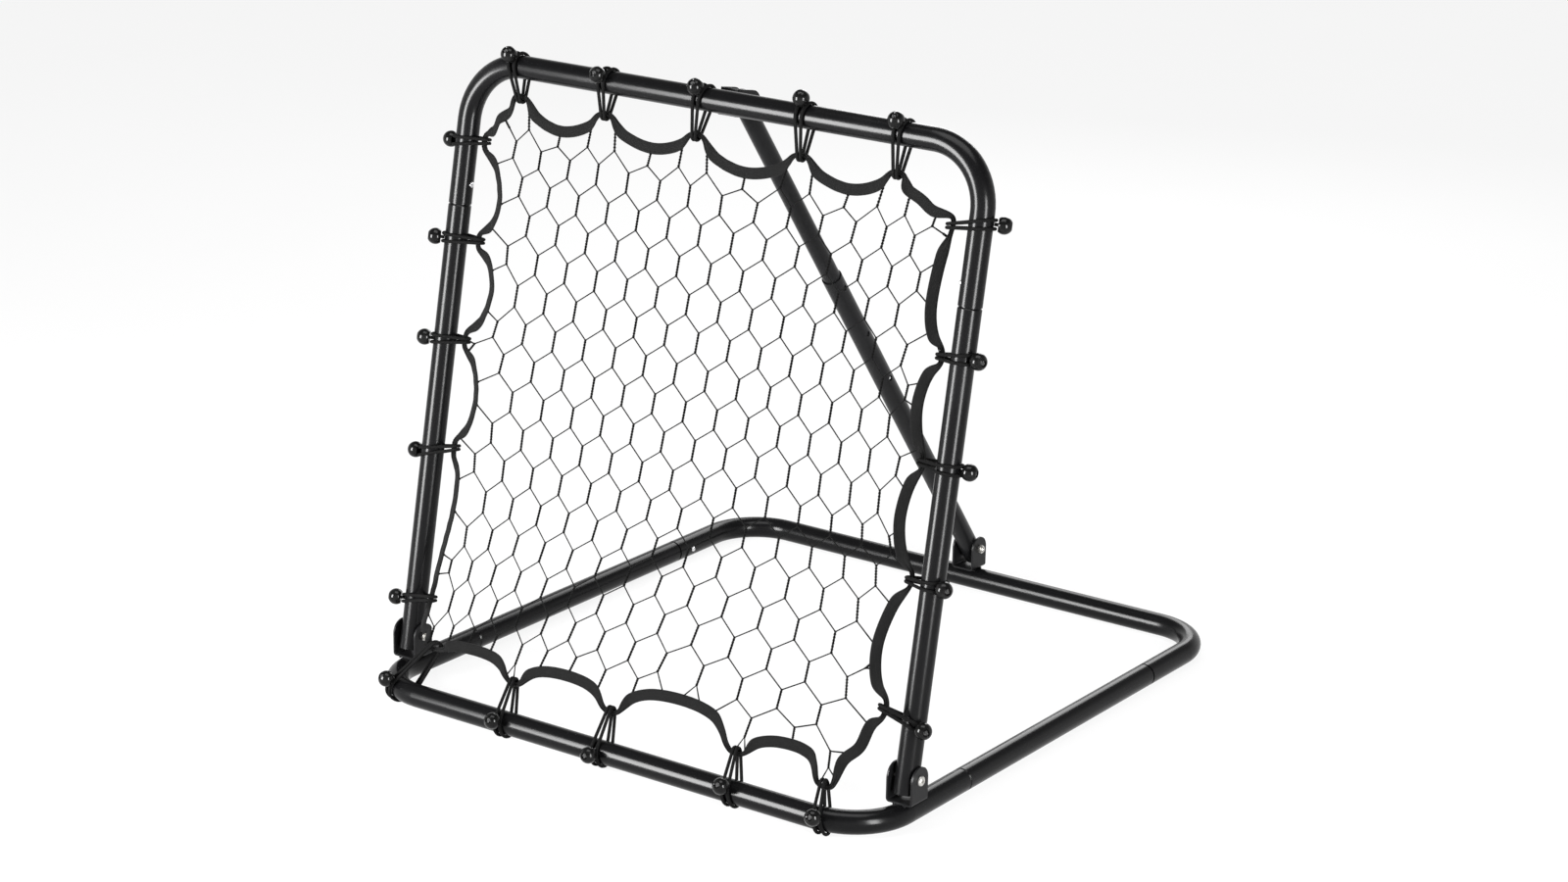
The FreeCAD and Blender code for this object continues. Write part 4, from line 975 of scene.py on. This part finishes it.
def loop_strands(seat):
    """Two closed strands round the tube and round the gathered strap, closer together at the strap."""
    distance = seat["distance"]
    contact = math.acos((seat["round_tube"] - seat["round_strap"]) / distance)
    narrowing = (SPREAD_ON_TUBE - SPREAD_AT_NET) / (distance + seat["round_strap"])
    strands = []
    for side in (-1, 1):
        ahead = seat["ahead"] - seat["axis"] * (side * narrowing)
        centre = seat["tube"] + seat["axis"] * (side * SPREAD_ON_TUBE)
        strand = []
        for middle, radius, start, end, count in (
                (centre, seat["round_tube"], contact, 2 * math.pi - contact, TURNS_ON_TUBE),
                (centre + ahead * distance, seat["round_strap"], -contact, contact, TURNS_ON_STRAP)):
            for angle in np.linspace(start, end, count):
                way = ahead * math.cos(angle) + seat["sideways"] * math.sin(angle)
                strand.append(middle + way * radius)
        strands.append(strand)
    return strands


def elastic_tree():
    """Draws elastic cord of a given radius along closed strands."""
    field, given = node_tree("elastic_cords", {"Radius": "Float", "Sides": "Int", "Elastic": "Material"})
    strands = field.add("GeometryNodeMeshToCurve", None, {"Mesh": given["Geometry"]})
    return end_tree(field, round_tube(field, strands, given["Radius"], given["Sides"]), given["Elastic"])


class REBOUNDER_OT_loops(bpy.types.Operator):
    """Loops the elastic cord round the tubes and the strap"""

    bl_idname = "rebounder.loops"
    bl_label = "Elastic loops"

    def execute(self, context):
        sizes = context.scene.rebounder
        elastic = make_material("elastic", braided, FABRIC, colour=sizes.fabric_colour, rounds=8,
                                pitch=0.006)
        tree = elastic_tree()
        for side in TIES:
            points = []
            edges = []
            seats = loop_seats(side)
            for seat in seats:
                for strand in loop_strands(seat):
                    add_ring(points, edges, [point * MM for point in strand])
            source = mesh_piece(f"loops_{side}", points, edges)
            loops = grow(source, tree, radius=sizes.loop_radius, sides=sizes.loop_sides, elastic=elastic)
            if side == "bottom":
                for vertex in loops.data.vertices:
                    vertex.co.z = max(vertex.co.z, 0.0)
                middle = sum((seat["strap"] for seat in seats), Vector()) / len(seats)
                start = Vector((0, FRONT_RAIL.y, FRONT_RAIL.z))
                middle.x = 0
                start += (middle - start).normalized() * BLEND_START
                start * MM
                middle * MM
                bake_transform(loops)
            else:
                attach(loops, "net_frame")
            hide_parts(f"tie_cords_{side}")
        return {"FINISHED"}


def knot_tree():
    """Sets a knot of cord in each ball's mouth, turned to face out of it."""
    field, given = node_tree("mouth_knots", {"Radius": "Float", "Size": "Float", "Elastic": "Material"})
    turned = field.add("FunctionNodeAlignRotationToVector", {"axis": "Z"},
                       {"Vector": field.stored("FLOAT_VECTOR", "facing")})
    ring = field.add("GeometryNodeCurvePrimitiveCircle", None, {"Resolution": KNOT_POINTS, "Radius": 1.0})
    angle = field.add("GeometryNodeSplineParameter") * (2 * math.pi)
    reach = (angle * 3.0).maths("COSINE") * KNOT_WAVE + KNOT_MIDDLE
    spot = field.add("ShaderNodeCombineXYZ", None, {
        0: (angle * 2.0).maths("COSINE") * reach, 1: (angle * 2.0).maths("SINE") * reach,
        2: (angle * 3.0).maths("SINE") * KNOT_RISE})
    spot = field.add("ShaderNodeVectorMath", {"operation": "SCALE"}, {0: spot, "Scale": given["Size"]})
    knot = field.add("GeometryNodeSetPosition", None, {"Geometry": ring, "Position": spot})
    knot = round_tube(field, knot, given["Radius"], 8)
    knots = field.add("GeometryNodeInstanceOnPoints", None,
                      {"Points": given["Geometry"], "Instance": knot, "Rotation": turned})
    return end_tree(field, knots, given["Elastic"])


class REBOUNDER_OT_knots(bpy.types.Operator):
    """Knots the ends of the elastic in the balls' open mouths"""

    bl_idname = "rebounder.knots"
    bl_label = "Knots in the balls"

    def execute(self, context):
        elastic = bpy.data.materials["elastic"]
        tree = knot_tree()
        for body, sides in (("base", ("bottom",)), ("net_frame", ("top", "left", "right"))):
            points = []
            facing = []
            for side in sides:
                for seat in loop_seats(side):
                    points.append((seat["foot"] + seat["outward"] * KNOT_REACH) * MM)
                    facing.append(seat["outward"])
            source = mesh_piece(f"knots_{body}", points)
            mark(source.data, "facing", "FLOAT_VECTOR", "POINT", facing)
            knots = grow(source, tree, radius=KNOT_CORD * MM, size=KNOT_SIZE * MM, elastic=elastic)
            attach(knots, body)
        return {"FINISHED"}


# Finishes of the solid pieces

class REBOUNDER_OT_tubes(bpy.types.Operator):
    """Coats the tubes and the brackets in black powder"""

    bl_idname = "rebounder.tubes"
    bl_label = "Tubes and brackets"

    def execute(self, context):
        for name, (starts, brightness, roughness) in COATED.items():
            colour = [value * brightness for value in context.scene.rebounder.steel_colour]
            set_finish(make_material(name, powder_coat, COAT, colour=colour, roughness=roughness), *starts)
        return {"FINISHED"}


class REBOUNDER_OT_fasteners(bpy.types.Operator):
    """Plates the bolts, nuts and snap buttons"""

    bl_idname = "rebounder.fasteners"
    bl_label = "Bolts, nuts and snap buttons"

    def execute(self, context):
        set_finish(make_material("zinc", plated, METAL, **ZINC),
                   "hinge_bolts", "hinge_nuts", "foot_bolt", "foot_nut", "head_bolt", "head_nut")
        set_finish(make_material("button_chrome", plated, METAL, **CHROME), "button_")
        return {"FINISHED"}


class REBOUNDER_OT_springs(bpy.types.Operator):
    """Makes the leaf springs in spring steel"""

    bl_idname = "rebounder.springs"
    bl_label = "Leaf springs"

    def execute(self, context):
        finish = make_material("spring_steel", plated, METAL, **SPRING_STEEL)
        for joint in frame["joints"]:
            if not joint["name"].startswith("press_"):
                continue
            node = joint["name"].replace("press_", "spring_")
            mesh = frame["nodes"][node].data.copy()
            mesh.materials.clear()
            mesh.materials.append(finish)
            leaf = linked(node.replace("spring_", "leaf_"), mesh)
            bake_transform(leaf)
            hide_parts(node)
        return {"FINISHED"}


class REBOUNDER_OT_plastics(bpy.types.Operator):
    """Gives the balls and the tube plugs their moulded plastic"""

    bl_idname = "rebounder.plastics"
    bl_label = "Balls and plugs"

    def execute(self, context):
        set_finish(make_material("ball_plastic", moulded, BALL, **BALL_PLASTIC), "tie_balls_")
        set_finish(make_material("plug_plastic", moulded, {}, **PLUG_PLASTIC),
                   "post_end_plugs", "brace_foot_plug", "brace_head_plug")
        return {"FINISHED"}


# The stage

def direction(azimuth, elevation):
    """Unit vector for degrees round from the front and up from level."""
    azimuth, elevation = math.radians(azimuth), math.radians(elevation)
    return Vector((math.sin(azimuth) * math.cos(elevation), -math.cos(azimuth) * math.cos(elevation),
                   math.sin(elevation)))


def camera_axes():
    """The camera's place in metres and its axes, in the row frame."""
    back = direction(*CAMERA_DIRECTION)
    across = Vector((0, 0, 1)).cross(back).normalized()
    upward = back.cross(across)
    right = across * math.cos(CAMERA_ROLL) + upward * math.sin(CAMERA_ROLL)
    up = upward * math.cos(CAMERA_ROLL) - across * math.sin(CAMERA_ROLL)
    place = BASE_TURN @ (CAMERA_AIM + back * CAMERA_DISTANCE) + CAMERA_OFFSET
    return place, Matrix([BASE_TURN @ axis for axis in (right, up, back)]).transposed()


def soft_light(name, azimuth, elevation, distance, width, height, power):
    """Rectangular lamp that looks at the object."""
    lamp = bpy.data.lights.new(name, "AREA")
    lamp.shape = "RECTANGLE"
    lamp.size = width
    lamp.size_y = height
    lamp.energy = power
    away = direction(azimuth, elevation)
    placed = linked(name, lamp)
    placed.location = LAMP_AIM + away * distance
    placed.rotation_euler = away.to_track_quat("Z", "Y").to_euler()


def seen_directly(field):
    """1 for what the camera sees directly, in metal or through glass, and 0 for the light it sheds."""
    camera = field.add("ShaderNodeLightPath", output="Is Camera Ray")
    around = camera.other("Is Glossy Ray").maths("MAXIMUM", camera.other("Is Transmission Ray"))
    return camera.maths("MAXIMUM", around)


class REBOUNDER_OT_stage(bpy.types.Operator):
    """Sets the pale floor, the soft studio light and the camera"""

    bl_idname = "rebounder.stage"
    bl_label = "Floor, light and camera"

    def execute(self, context):
        scene = context.scene
        corners = [(x * FLOOR_HALF, y * FLOOR_HALF, 0) for x, y in ((-1, -1), (1, -1), (1, 1), (-1, 1))]
        floor = mesh_piece("floor", corners, faces=[(0, 1, 2, 3)])
        pale = bpy.data.materials.new("pale_floor")
        field = empty_tree(pale)
        shade = field.noise(field.place(), 3.0, 2.0).shades((1, 1, 1), *FLOOR_GREYS)
        matte = field.add("ShaderNodeBsdfDiffuse", None, {"Color": shade})
        white = field.add("ShaderNodeEmission", None, {"Color": (1, 1, 1, 1), "Strength": 1.0})
        seen = field.add("ShaderNodeMixShader", None,
                         {0: seen_directly(field) * FLOOR_WHITE, 1: matte, 2: white})
        field.add("ShaderNodeOutputMaterial", None, {"Surface": seen})
        floor.data.materials.append(pale)

        world = bpy.data.worlds.new("studio")
        scene.world = world
        field = empty_tree(world)
        direction = field.add("ShaderNodeSeparateXYZ", None, {0: field.add("ShaderNodeTexCoord")}, "Z")
        strength = direction.ramp(*SKY_FADE) * (SKY_DIM - 1) + 1
        sky = field.add("ShaderNodeBackground", None, {"Color": (1, 1, 1, 1), "Strength": strength})
        field.add("ShaderNodeOutputWorld", None, {"Surface": sky})

        for name, values in LAMPS.items():
            soft_light(name, *values)

        view = bpy.data.cameras.new("camera")
        view.sensor_width = SENSOR_WIDTH
        view.lens = LENS_PER_WIDTH * SENSOR_WIDTH
        view.shift_x, view.shift_y = CAMERA_SHIFT
        view.clip_end = 100
        camera = linked("camera", view)
        place, axes = camera_axes()
        camera.matrix_world = Matrix.Translation(place) @ axes.to_4x4()
        scene.camera = camera
        scene.view_settings.view_transform = "Standard"
        return {"FINISHED"}


OPERATORS = (REBOUNDER_OT_tubes, REBOUNDER_OT_fasteners, REBOUNDER_OT_springs, REBOUNDER_OT_plastics,
             REBOUNDER_OT_net, REBOUNDER_OT_strap, REBOUNDER_OT_stitching, REBOUNDER_OT_loops,
             REBOUNDER_OT_knots, REBOUNDER_OT_stage)


class REBOUNDER_PT_pieces(bpy.types.Panel):
    """Lists the pieces that can be made"""

    bl_label = "Rebounder"
    bl_idname = "REBOUNDER_PT_pieces"
    bl_space_type = "VIEW_3D"
    bl_region_type = "UI"
    bl_category = "Rebounder"

    def draw(self, context):
        for operator in OPERATORS:
            self.layout.operator(operator.bl_idname)
        sizes = context.scene.rebounder
        for name in sizes.bl_rna.properties.keys():
            if name not in ("rna_type", "name"):
                self.layout.prop(sizes, name)


CLASSES = (RebounderSizes, *OPERATORS, REBOUNDER_PT_pieces)


def register():
    for item in CLASSES:
        bpy.utils.register_class(item)
    bpy.types.Scene.rebounder = PointerProperty(type=RebounderSizes)


def unregister():
    del bpy.types.Scene.rebounder
    for item in reversed(CLASSES):
        bpy.utils.unregister_class(item)


def main():
    register()
    for operator in OPERATORS:
        group, name = operator.bl_idname.split(".")
        getattr(getattr(bpy.ops, group), name)()


if __name__ == "__main__":
    main()
